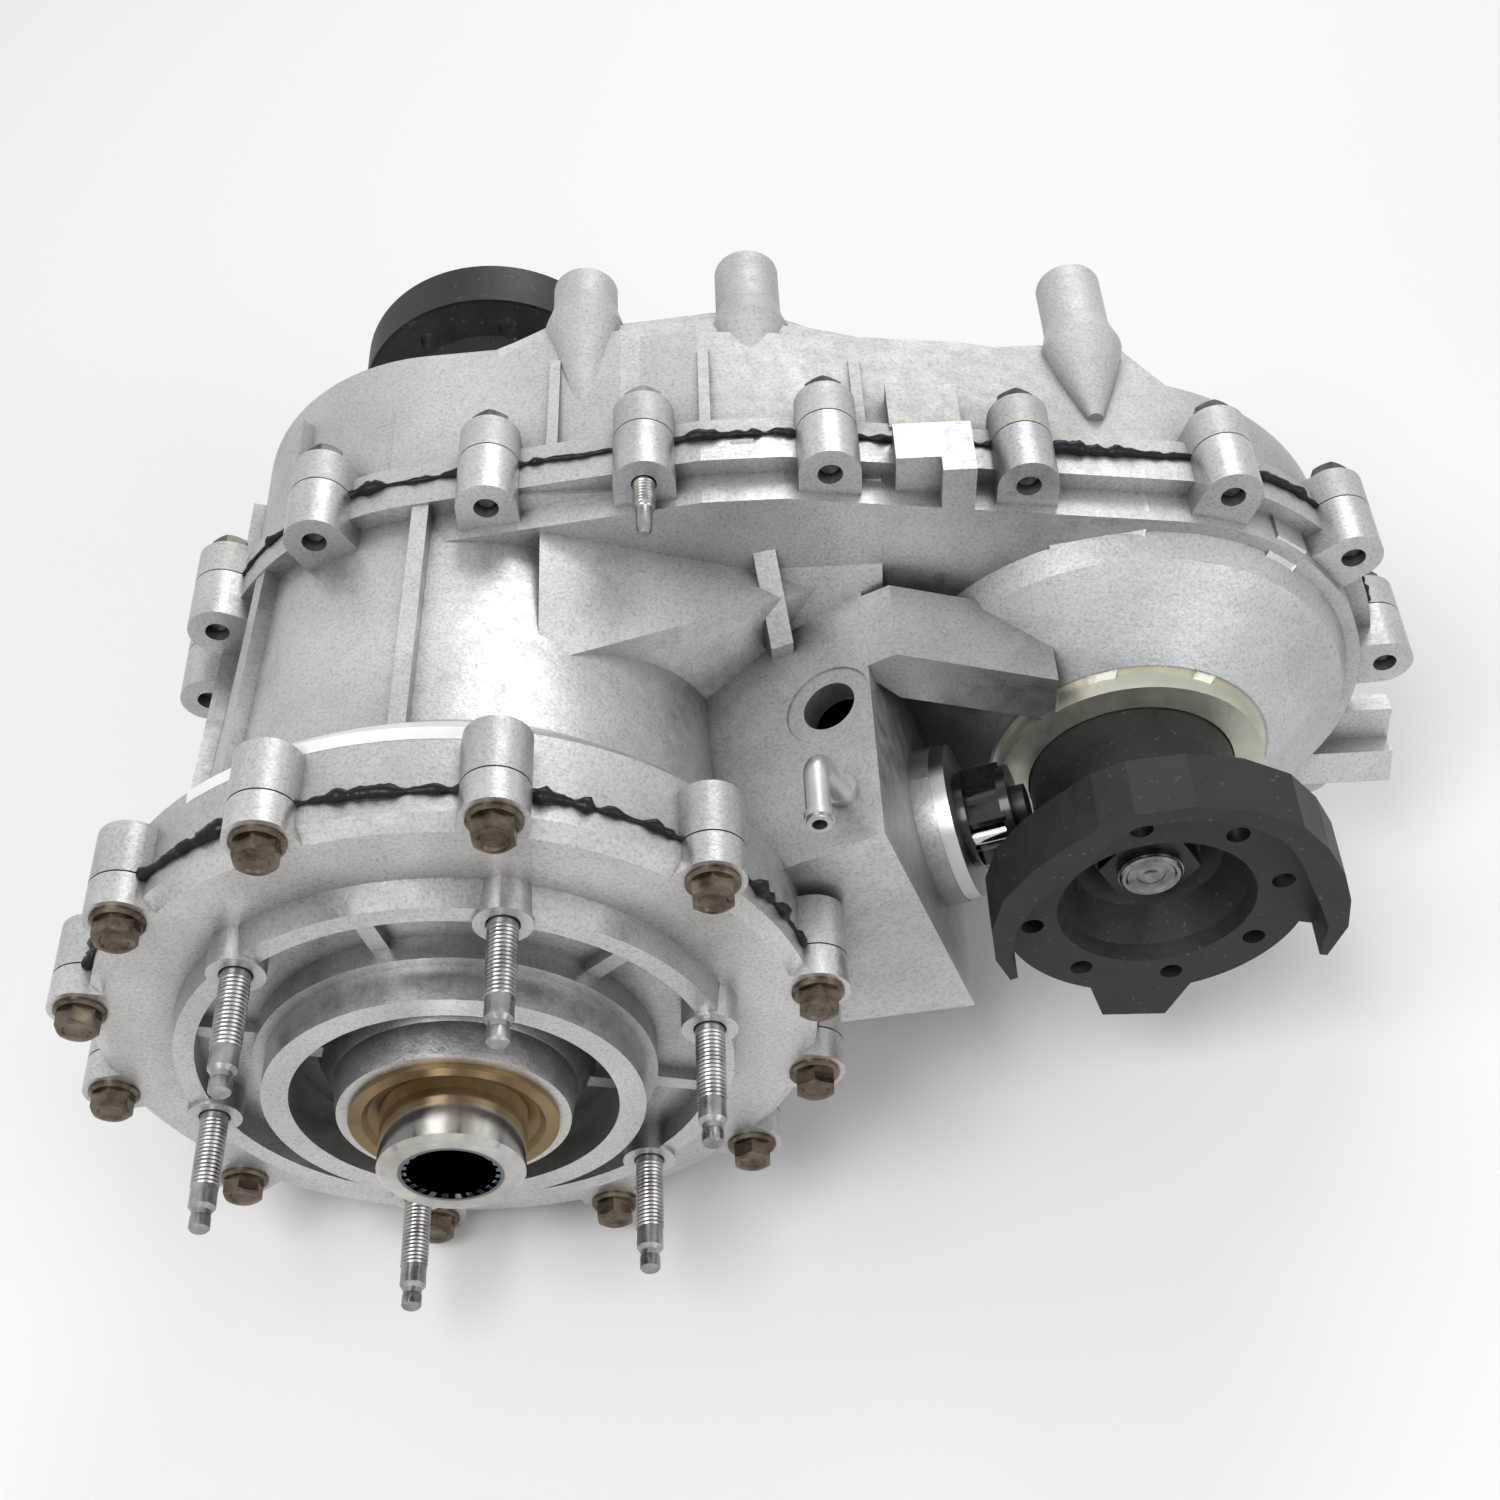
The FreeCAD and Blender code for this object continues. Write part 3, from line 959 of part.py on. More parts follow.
def sleeve(ring_y, ring_w, groove_y, behind):
    """Sliding clutch sleeve: dog ring, body and a collar with a fork groove."""
    collar0 = groove_y - 4
    collar1 = groove_y + RANGE_GROOVE_W + 4
    body0 = min(ring_y, collar0)
    body1 = max(ring_y + ring_w, collar1)
    body = cyl(SLEEVE_R - 4, body0, body1)
    ring = dogs(ring_y, ring_y + ring_w)
    collar = cyl(COLLAR_R, collar0, collar1).cut(tube(COLLAR_R + 1, GROOVE_R, groove_y, groove_y + RANGE_GROOVE_W))
    shape = fuse([body, ring, collar])
    return shape.cut(cyl(HUB_SPLINE_R + RUN, body0 - 1, body1 + 1))


def fork(groove_y, hub_y0, hub_y1):
    """Shift fork: hub on the rail, arm, and a yoke round the sleeve's groove."""
    y0 = groove_y + (RANGE_GROOVE_W - FORK_T) / 2
    y1 = y0 + FORK_T
    hub = cyl(FORK_HUB_R, hub_y0, hub_y1, RAIL_AXIS.x, RAIL_AXIS.z)
    yoke_angle = math.degrees(math.atan2(RAIL_AXIS.z, RAIL_AXIS.x))
    reach = math.hypot(RAIL_AXIS.x, RAIL_AXIS.z)
    yoke = tube(COLLAR_R + 9, GROOVE_R + 1, y0, y1)
    open_side = slab([(-2, -90), (-90, -90), (-90, 90), (-2, 90)], y0 - 1, y1 + 1)
    arm = slab([(COLLAR_R + 3, -11), (reach, -9), (reach, 9), (COLLAR_R + 3, 11)], y0, y1)
    web = turn(fuse([yoke.cut(open_side), arm]), yoke_angle)
    body = fuse([hub, web])
    return body.cut(cyl(RAIL_R + RUN, hub_y0 - 1, hub_y1 + 1, RAIL_AXIS.x, RAIL_AXIS.z))


def make_range_fork():
    body = fork(RANGE_GROOVE_Y, SECTOR_Y - 14 - RANGE_TRAVEL / 2, SECTOR_Y + 8 - RANGE_TRAVEL / 2)
    pin_base = V(RAIL_AXIS.x, SECTOR_Y - RANGE_TRAVEL / 2, RAIL_AXIS.z)
    pin = Part.makeCylinder(SECTOR_PIN_R, RAIL_TO_PLATE + SECTOR_PLATE_T - RAIL_R - 2, pin_base + SIDE_NORMAL * (RAIL_R + 2), SIDE_NORMAL)
    return fuse([body, pin])


def make_sector():
    """Sector plate on its shaft, drawn at high range: its slot leans forward to the fork's pin."""
    swing = math.degrees(math.atan2(RANGE_TRAVEL / 2, SECTOR_PIN_REACH))
    half = SECTOR_PIN_R + GAP
    rim = SECTOR_PIN_REACH + SECTOR_PIN_R + 6
    shaft = side_cyl(SECTOR_SHAFT_R, -SECTOR_PLATE_DEPTH - 2, SECTOR_SHAFT_END)
    start = -SECTOR_PLATE_DEPTH
    fan = [(-12, -10), (12, -10), (20, rim - 8), (12, rim), (-12, rim), (-20, rim - 8)]
    plate = side_plate(fan, start, start + SECTOR_PLATE_T)
    slot = side_plate([(-half, SECTOR_PIN_REACH - half - 2), (half, SECTOR_PIN_REACH - half - 2), (half, rim + 1), (-half, rim + 1)], start - 1, start + SECTOR_PLATE_T + 1)
    plate = plate.cut(slot)
    plate.rotate(SWITCH_SEAT, SIDE_NORMAL, swing)
    flats = side_plate([(-9, -9), (9, -9), (9, -5.5), (-9, -5.5)], 2.0, SECTOR_SHAFT_END + 1)
    return fuse([shaft, plate]).cut(flats)


# ================================================================ shafts, sprockets and chain
def sprocket_profile():
    root = SPROCKET_R - LINK_DROP - 2.0
    tip = SPROCKET_R - 1.0
    return [(root, -2.3), (tip, -0.7), (tip, 0.7), (root, 2.3)]


def make_sprocket(x, z, r_in, y0, y1, extra=None):
    phase = CENTRE_ANGLE + 90
    body = toothed(SPROCKET_TEETH, sprocket_profile(), CHAIN_Y + 1, CHAIN_Y + CHAIN_W - 1, phase, x, z)
    if extra:
        body = body.fuse(extra)
    return body.cut(cyl(r_in, y0, y1, x, z))


def make_drive_sprocket():
    """Sprocket that runs free on the mainshaft, with a dog socket for the mode sleeve."""
    front = MODE_RING_Y - 0.5
    socket = cyl(DOG_TIP_R + 5, front, CHAIN_Y + 2).cut(dogs(front - 1, CHAIN_Y, DOG_CLEAR))
    return make_sprocket(0.0, 0.0, MAINSHAFT_R + RUN, CHAIN_Y - 1, CHAIN_Y + CHAIN_W, socket)


def make_chain():
    """Inverted-tooth chain, each row of links as one block whose feet lie between the teeth."""
    half = CHAIN_PITCH / 2 - 0.35
    link = slab([
        (-half, 0), (-half + 0.5, LINK_RISE), (half - 0.5, LINK_RISE), (half, 0),
        (half - 2.6, -LINK_DROP), (-half + 2.6, -LINK_DROP),
    ], CHAIN_Y, CHAIN_Y + CHAIN_W)
    step = 360.0 / SPROCKET_TEETH
    apothem = SPROCKET_R * math.cos(math.radians(step / 2))
    links = []

    def place(along, lift, angle, cx, cz):
        copy = link.copy()
        copy.translate(V(along, 0, lift))
        copy = turn(copy, angle)
        copy.translate(V(cx, 0, cz))
        links.append(copy)

    for side in (0, 180):
        for k in range(CHAIN_STRAIGHT_LINKS):
            start = (k + 0.5) * CHAIN_PITCH
            cx, cz = (0.0, 0.0) if side == 0 else (OUT_X, OUT_Z)
            place(start, SPROCKET_R, CENTRE_ANGLE + side, cx, cz)
    for k in range(SPROCKET_TEETH // 2):
        place(0, apothem, CENTRE_ANGLE + (k + 0.5) * step, 0.0, 0.0)
        place(0, apothem, CENTRE_ANGLE + 180 + (k + 0.5) * step, OUT_X, OUT_Z)
    return group(links)


def make_mainshaft():
    nose_y = 2.0
    step_y = RANGE_RING_Y - 2
    hub_end = REAR_FLANGE_FACE_Y - SKIRT_L - FLANGE_SEAL_L
    thread0 = REAR_FLANGE_FACE_Y - FLANGE_BOWL_DEPTH
    return turned([
        (0, nose_y), (PILOT_NOSE_R, nose_y), (PILOT_NOSE_R, step_y), (HUB_SPLINE_R, step_y + 2),
        (HUB_SPLINE_R, CHAIN_Y - 1 - GAP), (MAINSHAFT_R, CHAIN_Y - 1 - GAP), (MAINSHAFT_R, hub_end),
        (FLANGE_BORE_R, hub_end), (FLANGE_BORE_R, thread0), (12, thread0), (12, thread0 + NUT_H + SHAFT_END_PROUD),
        (0, thread0 + NUT_H + SHAFT_END_PROUD),
    ])


def make_output_shaft():
    thread0 = FLANGE_FACE_Y + FLANGE_BOWL_DEPTH
    hub_end = FLANGE_FACE_Y + SKIRT_L + FLANGE_SEAL_L
    back = OUT_REAR_BEARING_Y + OUT_BEARING_W - 1
    bearing_back = OUT_FRONT_BEARING_Y + OUT_BEARING_W
    return turned([
        (0, thread0 - NUT_H - SHAFT_END_PROUD), (12, thread0 - NUT_H - SHAFT_END_PROUD), (12, thread0),
        (FLANGE_BORE_R, thread0), (FLANGE_BORE_R, hub_end), (OUT_SHAFT_R, hub_end),
        (OUT_SHAFT_R, bearing_back + GAP), (OUT_SHAFT_R + 4, bearing_back + GAP), (OUT_SHAFT_R + 4, OUT_REAR_BEARING_Y - 3),
        (15, OUT_REAR_BEARING_Y - 3), (15, back), (0, back),
    ], OUT_X, OUT_Z)


def make_flange(x, z, face_y, direction, lobed):
    """Companion flange for a constant-velocity joint; direction -1 opens its bowl forwards."""
    neck = FLANGE_HUB_R
    body = turned([
        (FLANGE_BORE_R, FLANGE_BOWL_DEPTH), (20, FLANGE_BOWL_DEPTH), (27, FLANGE_BOWL_DEPTH - 6),
        (FLANGE_BOWL_R - 2, 6), (FLANGE_BOWL_R, 0), (FLANGE_DISC_R, 0), (FLANGE_DISC_R, FLANGE_T),
        (neck + 3, FLANGE_T + 4), (neck, FLANGE_T + 12), (neck, SKIRT_L), (FLANGE_SEAL_R, SKIRT_L),
        (FLANGE_SEAL_R, SKIRT_L + FLANGE_SEAL_L), (FLANGE_BORE_R, SKIRT_L + FLANGE_SEAL_L),
    ])
    if lobed:
        outer = [polar(rim, angle) for angle, inside, rim in FLANGE_LIP]
        inner = [polar(inside, angle) for angle, inside, rim in FLANGE_LIP]
        plate = slab(outer + [(0, 0)], 0, FLANGE_T)
        lip = slab(outer + inner[::-1], -FLANGE_LIP_H, FLANGE_T)
        foot = slab([
            polar(FLANGE_DISC_R - 8, -118), polar(FLANGE_EAR_REACH, -100), polar(FLANGE_EAR_REACH + 1, -81),
            polar(FLANGE_DISC_R - 8, -62),
        ], 0, FLANGE_T)
        plate = plate.cut(cyl(FLANGE_DISC_R - 1, -1, FLANGE_T + 1))
        shape = fuse([body, plate, lip, foot])
    else:
        shape = fuse([body, tube(FLANGE_DISC_R + 1.5, FLANGE_DISC_R - 2.5, -FLANGE_LIP_H, FLANGE_T)])
    for k in range(FLANGE_HOLES):
        hx, hz = polar(FLANGE_HOLE_CIRCLE_R, FLANGE_HOLE_ANGLE + 360.0 * k / FLANGE_HOLES)
        shape = shape.cut(cyl(FLANGE_HOLE_R, -1, FLANGE_T + 13, hx, hz))
    if direction > 0:
        shape.rotate(V(0, 0, 0), V(0, 0, 1), 180)
    shape.translate(V(x, face_y, z))
    return shape


def make_nut(x, z, face_y, direction):
    seat = FLANGE_BOWL_DEPTH
    washer = cyl(19.5, seat - 2, seat)
    body = fuse([hexagon(NUT_AF * 0.9, seat - NUT_H, seat - 2), washer]).cut(cyl(12, seat - 30, seat + 1))
    if direction > 0:
        body.rotate(V(0, 0, 0), V(0, 0, 1), 180)
    body.translate(V(x, face_y, z))
    return body


# ================================================================ oil pump and pickup
SUMP = V(60.0, 0, -80.0)
PICKUP_R = 4.0
PICKUP_BOSS_L = 5.0


def pickup_axis():
    """Start, direction and reach of the pickup tube, from the pump down to the sump."""
    down = V(SUMP.x, 0, SUMP.z).normalize()
    start = V(0, PUMP_Y + PUMP_W / 2, 0) + down * (PUMP_R + PICKUP_BOSS_L)
    return start, down, SUMP.Length - PUMP_R - PICKUP_BOSS_L - 4


def make_pump():
    body = turned([
        (MAINSHAFT_R + RUN, PUMP_Y), (PUMP_R - 8, PUMP_Y), (PUMP_R, PUMP_Y + 5), (PUMP_R, PUMP_Y + PUMP_W),
        (MAINSHAFT_R + RUN, PUMP_Y + PUMP_W),
    ])
    start, down, reach = pickup_axis()
    boss = Part.makeCylinder(PICKUP_R + 3, PICKUP_BOSS_L + 8, start - down * (PICKUP_BOSS_L + 8), down)
    return fuse([body, boss])


def make_pickup():
    start, down, reach = pickup_axis()
    return Part.makeCylinder(PICKUP_R, reach, start, down)


def make_screen():
    top = SUMP.z + 7
    foot = SUMP.z - 4
    frame = slab([(SUMP.x - 18, foot), (SUMP.x + 14, foot), (SUMP.x + 11, top), (SUMP.x - 16, top)], PUMP_Y, PUMP_Y + PUMP_W)
    return frame.cut(make_pickup())


# ================================================================ vent, switch
def make_vent():
    """Bent breather tube: a riser square to the flat top, a bend, and a beaded forward run."""
    bend_r = 8.0
    foot = on_top(VENT_Y, VENT_DOWN, 1 - WALL)
    knee = on_top(VENT_Y, VENT_DOWN, VENT_RISE)
    centre = knee + V(0, -bend_r, 0)
    run_start = centre + TOP_NORMAL * bend_r
    run = run_start.y - VENT_TIP_Y
    side = V(0, 1, 0).cross(TOP_NORMAL)

    def bent(radius, extra):
        riser = Part.makeCylinder(radius, VENT_RISE + WALL - 1 + extra, foot - TOP_NORMAL * extra, TOP_NORMAL)
        profile = Part.Face(Part.Wire(Part.makeCircle(radius, knee, TOP_NORMAL)))
        elbow = profile.revolve(centre, side, 90)
        forward = Part.makeCylinder(radius, run + extra, run_start, V(0, -1, 0))
        return riser.fuse(elbow).fuse(forward)

    bead = Part.makeCylinder(VENT_R + 0.8, 2.5, V(run_start.x, VENT_TIP_Y + 1.5, run_start.z), V(0, 1, 0))
    collar = Part.makeCylinder(VENT_R + 1.6, 2.5, on_top(VENT_Y, VENT_DOWN), TOP_NORMAL)
    return bent(VENT_R, 0).fuse(bead).fuse(collar).cut(bent(VENT_BORE_R, 1))


def switch_post(y, up):
    """Foot of a switch screw on the sector axis's seat plane."""
    return SWITCH_SEAT + V(0, y, 0) - SIDE_DOWN * up


def make_switch():
    """Range switch: base plate, a waisted body that houses the sector shaft's end, and a cover."""
    body_top = SWITCH_PLATE_T + SWITCH_BODY_H
    half = SWITCH_R * 0.78
    plate = side_cyl(SWITCH_R + 1.5, 0, SWITCH_PLATE_T)
    body = side_cyl(SWITCH_R - 3, SWITCH_PLATE_T - 1, body_top + 1)
    block = side_plate([(-half, -half), (half, -half), (half, half), (-half, half)], SWITCH_PLATE_T - 1, body_top + 1)
    cover = side_cyl(SWITCH_R, body_top, body_top + SWITCH_PLATE_T)
    shape = fuse([plate, body, block, cover])
    shape = shape.cut(side_cyl(SECTOR_SHAFT_R + GAP, -1, SECTOR_SHAFT_END + GAP))
    for y, up in SWITCH_SCREWS:
        shape = shape.cut(side_cyl(SWITCH_SCREW_R + 1.8, SWITCH_PLATE_T, body_top, switch_post(y, up)))
    return shape


def make_switch_screws():
    return group([
        side_cyl(SWITCH_SCREW_R, SWITCH_PLATE_T, SWITCH_PLATE_T + SWITCH_BODY_H, switch_post(y, up))
        for y, up in SWITCH_SCREWS
    ])


def make_switch_cap():
    base = 2 * SWITCH_PLATE_T + SWITCH_BODY_H
    return side_cyl(SWITCH_CAP_R, base, base + SWITCH_CAP_H)


def make_switch_disc():
    disc = side_cyl(SWITCH_DISC_R, -SWITCH_DISC_T, 0)
    return disc.cut(side_cyl(SECTOR_SHAFT_R + GAP, -SWITCH_DISC_T - 1, 1))


# ================================================================ build
def build():
    bearing_in_r = INPUT_JOURNAL_R + RUN
    snap_y = INPUT_BEARING_Y + INPUT_BEARING_W
    seal_y = BOSS_Y + FLANGE_ENTRY + 1
    rear_seal_y = TAIL_Y - FLANGE_ENTRY - 1
    nodes = {
        "front_case": make_front_case(),
        "rear_case": make_rear_case(),
        "input_retainer": make_retainer(),
        "case_sealant": make_case_sealant(),
        "retainer_sealant": make_retainer_sealant(),
        "retainer_bolts": make_retainer_bolts(),
        "case_bolts": make_case_bolts(),
        "case_stud": make_case_stud(),
        "transmission_studs": make_transmission_studs(),
        "dowel_pins": make_dowels(),
        "fill_drain_plugs": make_plugs(),
        "input_gear": make_input_gear(),
        "input_bearing": bearing(INPUT_BEARING_R, bearing_in_r, INPUT_BEARING_Y, INPUT_BEARING_W),
        "input_snap_ring": tube(INPUT_BEARING_R, INPUT_BEARING_R - 4, snap_y, snap_y + SNAP_W),
        "input_seal": seal(SEAL_R, INPUT_HUB_R + RUN, HUB_Y - SEAL_PROUD, HUB_Y + SEAL_DEPTH, -1),
        "annulus_gear": make_annulus(),
        "planet_carrier": make_carrier(),
        "planet_pins": make_planet_pins(),
        "range_sleeve": sleeve(RANGE_RING_Y, RANGE_RING_W, RANGE_GROOVE_Y, 0),
        "range_fork": make_range_fork(),
        "mode_sleeve": sleeve(MODE_RING_Y, MODE_RING_W, MODE_GROOVE_Y, 0),
        "mode_fork": fork(MODE_GROOVE_Y, MODE_GROOVE_Y - 8, MODE_GROOVE_Y + 12),
        "shift_rail": cyl(RAIL_R, RAIL_Y0, RAIL_Y1, RAIL_AXIS.x, RAIL_AXIS.z),
        "shift_sector": make_sector(),
        "mainshaft": make_mainshaft(),
        "oil_pump": make_pump(),
        "pickup_tube": make_pickup(),
        "pickup_screen": make_screen(),
        "drive_sprocket": make_drive_sprocket(),
        "chain": make_chain(),
        "driven_sprocket": make_sprocket(OUT_X, OUT_Z, OUT_SHAFT_R + 4, CHAIN_Y - 2, CHAIN_Y + CHAIN_W + 2),
        "front_output_shaft": make_output_shaft(),
        "output_front_bearing": bearing(OUT_FRONT_BEARING_R, OUT_SHAFT_R + RUN, OUT_FRONT_BEARING_Y, OUT_BEARING_W, OUT_X, OUT_Z),
        "output_rear_bearing": bearing(OUT_REAR_BEARING_R, 15 + RUN, OUT_REAR_BEARING_Y, OUT_BEARING_W, OUT_X, OUT_Z),
        "rear_bearing": bearing(REAR_BEARING_R, MAINSHAFT_R + RUN, REAR_BEARING_Y, REAR_BEARING_W),
        "front_output_seal": seal(BOSS_BORE_R, FLANGE_SEAL_R + RUN, seal_y, seal_y + OUT_SEAL_W, -1, OUT_X, OUT_Z),
        "rear_output_seal": seal(BOSS_BORE_R, FLANGE_SEAL_R + RUN, rear_seal_y - OUT_SEAL_W, rear_seal_y, 1),
        "front_output_flange": make_flange(OUT_X, OUT_Z, FLANGE_FACE_Y, -1, True),
        "front_flange_nut": make_nut(OUT_X, OUT_Z, FLANGE_FACE_Y, -1),
        "rear_output_flange": make_flange(0.0, 0.0, REAR_FLANGE_FACE_Y, 1, False),
        "rear_flange_nut": make_nut(0.0, 0.0, REAR_FLANGE_FACE_Y, 1),
        "vent_elbow": make_vent(),
        "range_switch": make_switch(),
        "switch_screws": make_switch_screws(),
        "switch_cap": make_switch_cap(),
        "switch_disc": make_switch_disc(),
    }
    for index in range(PLANETS):
        nodes[f"planet_gear_{index + 1}"] = make_planet(index)
    return nodes


os.makedirs("parts", exist_ok=True)
for name, shape in build().items():
    shape.exportStep(f"parts/{name}.step")
    print(name, len(shape.Solids), round(shape.Volume), shape.isValid())
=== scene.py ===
"""Looks of the transfer case: materials, threads, sealant, light and camera round the CAD frame."""
import json
import math

import bpy
from mathutils import Matrix, Vector
from mathutils import noise as field


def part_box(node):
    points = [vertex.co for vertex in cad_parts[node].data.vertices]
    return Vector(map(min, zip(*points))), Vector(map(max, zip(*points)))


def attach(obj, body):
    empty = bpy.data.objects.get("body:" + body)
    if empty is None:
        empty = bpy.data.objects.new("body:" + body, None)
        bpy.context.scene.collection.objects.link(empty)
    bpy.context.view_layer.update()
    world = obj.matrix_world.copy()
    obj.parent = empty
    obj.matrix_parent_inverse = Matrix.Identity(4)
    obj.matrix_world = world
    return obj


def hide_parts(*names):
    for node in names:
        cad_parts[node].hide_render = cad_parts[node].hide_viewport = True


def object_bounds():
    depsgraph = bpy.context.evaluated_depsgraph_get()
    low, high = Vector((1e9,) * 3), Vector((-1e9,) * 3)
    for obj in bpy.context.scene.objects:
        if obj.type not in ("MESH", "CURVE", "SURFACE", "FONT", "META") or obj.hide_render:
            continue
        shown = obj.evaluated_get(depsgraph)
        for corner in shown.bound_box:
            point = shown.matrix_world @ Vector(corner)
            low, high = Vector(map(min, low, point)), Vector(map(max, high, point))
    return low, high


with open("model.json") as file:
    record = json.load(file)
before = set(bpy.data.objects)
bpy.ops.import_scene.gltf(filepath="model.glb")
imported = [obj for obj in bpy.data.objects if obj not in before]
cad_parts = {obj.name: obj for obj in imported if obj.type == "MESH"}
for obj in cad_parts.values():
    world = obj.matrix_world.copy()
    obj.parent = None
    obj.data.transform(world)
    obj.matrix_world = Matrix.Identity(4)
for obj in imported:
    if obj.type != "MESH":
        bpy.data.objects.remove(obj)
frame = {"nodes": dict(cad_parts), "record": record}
CAD_BOX = [list(corner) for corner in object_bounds()]
NODES = frame["nodes"]
MM = 0.001
MAIN_AXIS = (0.0, 0.0)


def middle(corners):
    """(x, z) in the middle of a box given as (low, high) corners."""
    low, high = corners
    return (low.x + high.x) / 2, (low.z + high.z) / 2


OUT_AXIS = middle(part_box("driven_sprocket"))
NOISE_LOW = 0.3
NOISE_HIGH = 0.7


# ---------------------------------------------------------------- node helpers
def new_material(name):
    """Empty material with one principled shader; returns the material, its tree and the shader."""
    material = bpy.data.materials.new(name)
    material.use_nodes = True
    tree = material.node_tree
    tree.nodes.clear()
    out = tree.nodes.new("ShaderNodeOutputMaterial")
    shader = tree.nodes.new("ShaderNodeBsdfPrincipled")
    tree.links.new(shader.outputs[0], out.inputs[0])
    return material, tree, shader


def noise(tree, scale, detail, rough=0.55):
    """Noise fixed to the piece, about 0.3 to 0.7; scale is in features per metre."""
    coords = tree.nodes.get("COORDS")
    if coords is None:
        coords = tree.nodes.new("ShaderNodeTexCoord")
        coords.name = "COORDS"
    node = tree.nodes.new("ShaderNodeTexNoise")
    node.inputs["Scale"].default_value = scale
    node.inputs["Detail"].default_value = detail
    node.inputs["Roughness"].default_value = rough
    tree.links.new(coords.outputs["Object"], node.inputs["Vector"])
    return node.outputs["Fac"]


def ramp(tree, value, stops):
    """Colour of a value by stops of (place, colour)."""
    node = tree.nodes.new("ShaderNodeValToRGB")
    while len(node.color_ramp.elements) < len(stops):
        node.color_ramp.elements.new(0.5)
    for element, (place, colour) in zip(node.color_ramp.elements, stops):
        element.position = place
        element.color = (*colour, 1.0)
    tree.links.new(value, node.inputs["Fac"])
    return node.outputs["Color"]


def spread(tree, value, low, high):
    """Stretches the range of a noise to low..high."""
    node = tree.nodes.new("ShaderNodeMapRange")
    node.inputs["From Min"].default_value = NOISE_LOW
    node.inputs["From Max"].default_value = NOISE_HIGH
    node.inputs["To Min"].default_value = low
    node.inputs["To Max"].default_value = high
    tree.links.new(value, node.inputs["Value"])
    return node.outputs["Result"]


def mix(tree, factor, first, second, blend="MIX"):
    """Blend of two colours; factor, first and second are plain values or sockets."""
    node = tree.nodes.new("ShaderNodeMix")
    node.data_type = "RGBA"
    node.blend_type = blend
    if isinstance(factor, float):
        node.inputs["Factor"].default_value = factor
    else:
        tree.links.new(factor, node.inputs["Factor"])
    for value, socket in ((first, node.inputs["A"]), (second, node.inputs["B"])):
        if isinstance(value, tuple):
            socket.default_value = (*value, 1.0)
        else:
            tree.links.new(value, socket)
    return node.outputs["Result"]


def bump(tree, shader, layers):
    """layers are (height, strength, distance in metres), the coarsest first."""
    normal = None
    for height, strength, distance in layers:
        node = tree.nodes.new("ShaderNodeBump")
        node.inputs["Strength"].default_value = strength
        node.inputs["Distance"].default_value = distance
        tree.links.new(height, node.inputs["Height"])
        if normal is not None:
            tree.links.new(normal, node.inputs["Normal"])
        normal = node.outputs["Normal"]
    tree.links.new(normal, shader.inputs["Normal"])


def near_axis(tree, x, z, radius, edge=0.0006):
    """Mask that is 1 within radius of the line along Y through (x, z)."""
    flat = tree.nodes.new("ShaderNodeVectorMath")
    flat.operation = "MULTIPLY_ADD"
    tree.links.new(tree.nodes["COORDS"].outputs["Object"], flat.inputs[0])
    flat.inputs[1].default_value = (1.0, 0.0, 1.0)
    flat.inputs[2].default_value = (-x, 0.0, -z)
    length = tree.nodes.new("ShaderNodeVectorMath")
    length.operation = "LENGTH"
    tree.links.new(flat.outputs[0], length.inputs[0])
    inside = tree.nodes.new("ShaderNodeMapRange")
    inside.inputs["From Min"].default_value = radius + edge
    inside.inputs["From Max"].default_value = radius
    tree.links.new(length.outputs["Value"], inside.inputs["Value"])
    return inside.outputs["Result"]


def before_y(tree, y):
    """Mask that is 1 in front of a plane across Y."""
    split = tree.nodes.new("ShaderNodeSeparateXYZ")
    tree.links.new(tree.nodes["COORDS"].outputs["Object"], split.inputs[0])
    test = tree.nodes.new("ShaderNodeMath")
    test.operation = "LESS_THAN"
    tree.links.new(split.outputs["Y"], test.inputs[0])
    test.inputs[1].default_value = y
    return test.outputs[0]


def repaint(material, mask_of, colour):
    """Mixes another colour into a finished material where the mask is 1."""
    tree = material.node_tree
    shader = next(node for node in tree.nodes if node.type == "BSDF_PRINCIPLED")
    link = shader.inputs["Base Color"].links[0]
    painted = mix(tree, mask_of(tree), link.from_socket, colour)
    tree.links.new(painted, shader.inputs["Base Color"])


# ---------------------------------------------------------------- kinds of finish
WHITE = (1.0, 1.0, 1.0)
BLACK = (0.0, 0.0, 0.0)
SPECK_STOPS = ((0.28, (0.62, 0.62, 0.62)), (0.48, WHITE), (0.74, (1.22, 1.22, 1.22)))
SPECK_SHARE = 0.8
# Stops, reach and samples of an ambient-occlusion darkening: painted shade in corners and creases.
PAINTED_SHADE_STOPS = ((0.25, (0.42, 0.41, 0.40)), (0.85, WHITE))
PAINTED_SHADE_REACH = 0.028
PAINTED_SHADE_SAMPLES = 6
RUST_STOPS = ((0.66, BLACK), (0.73, (0.8, 0.8, 0.8)))


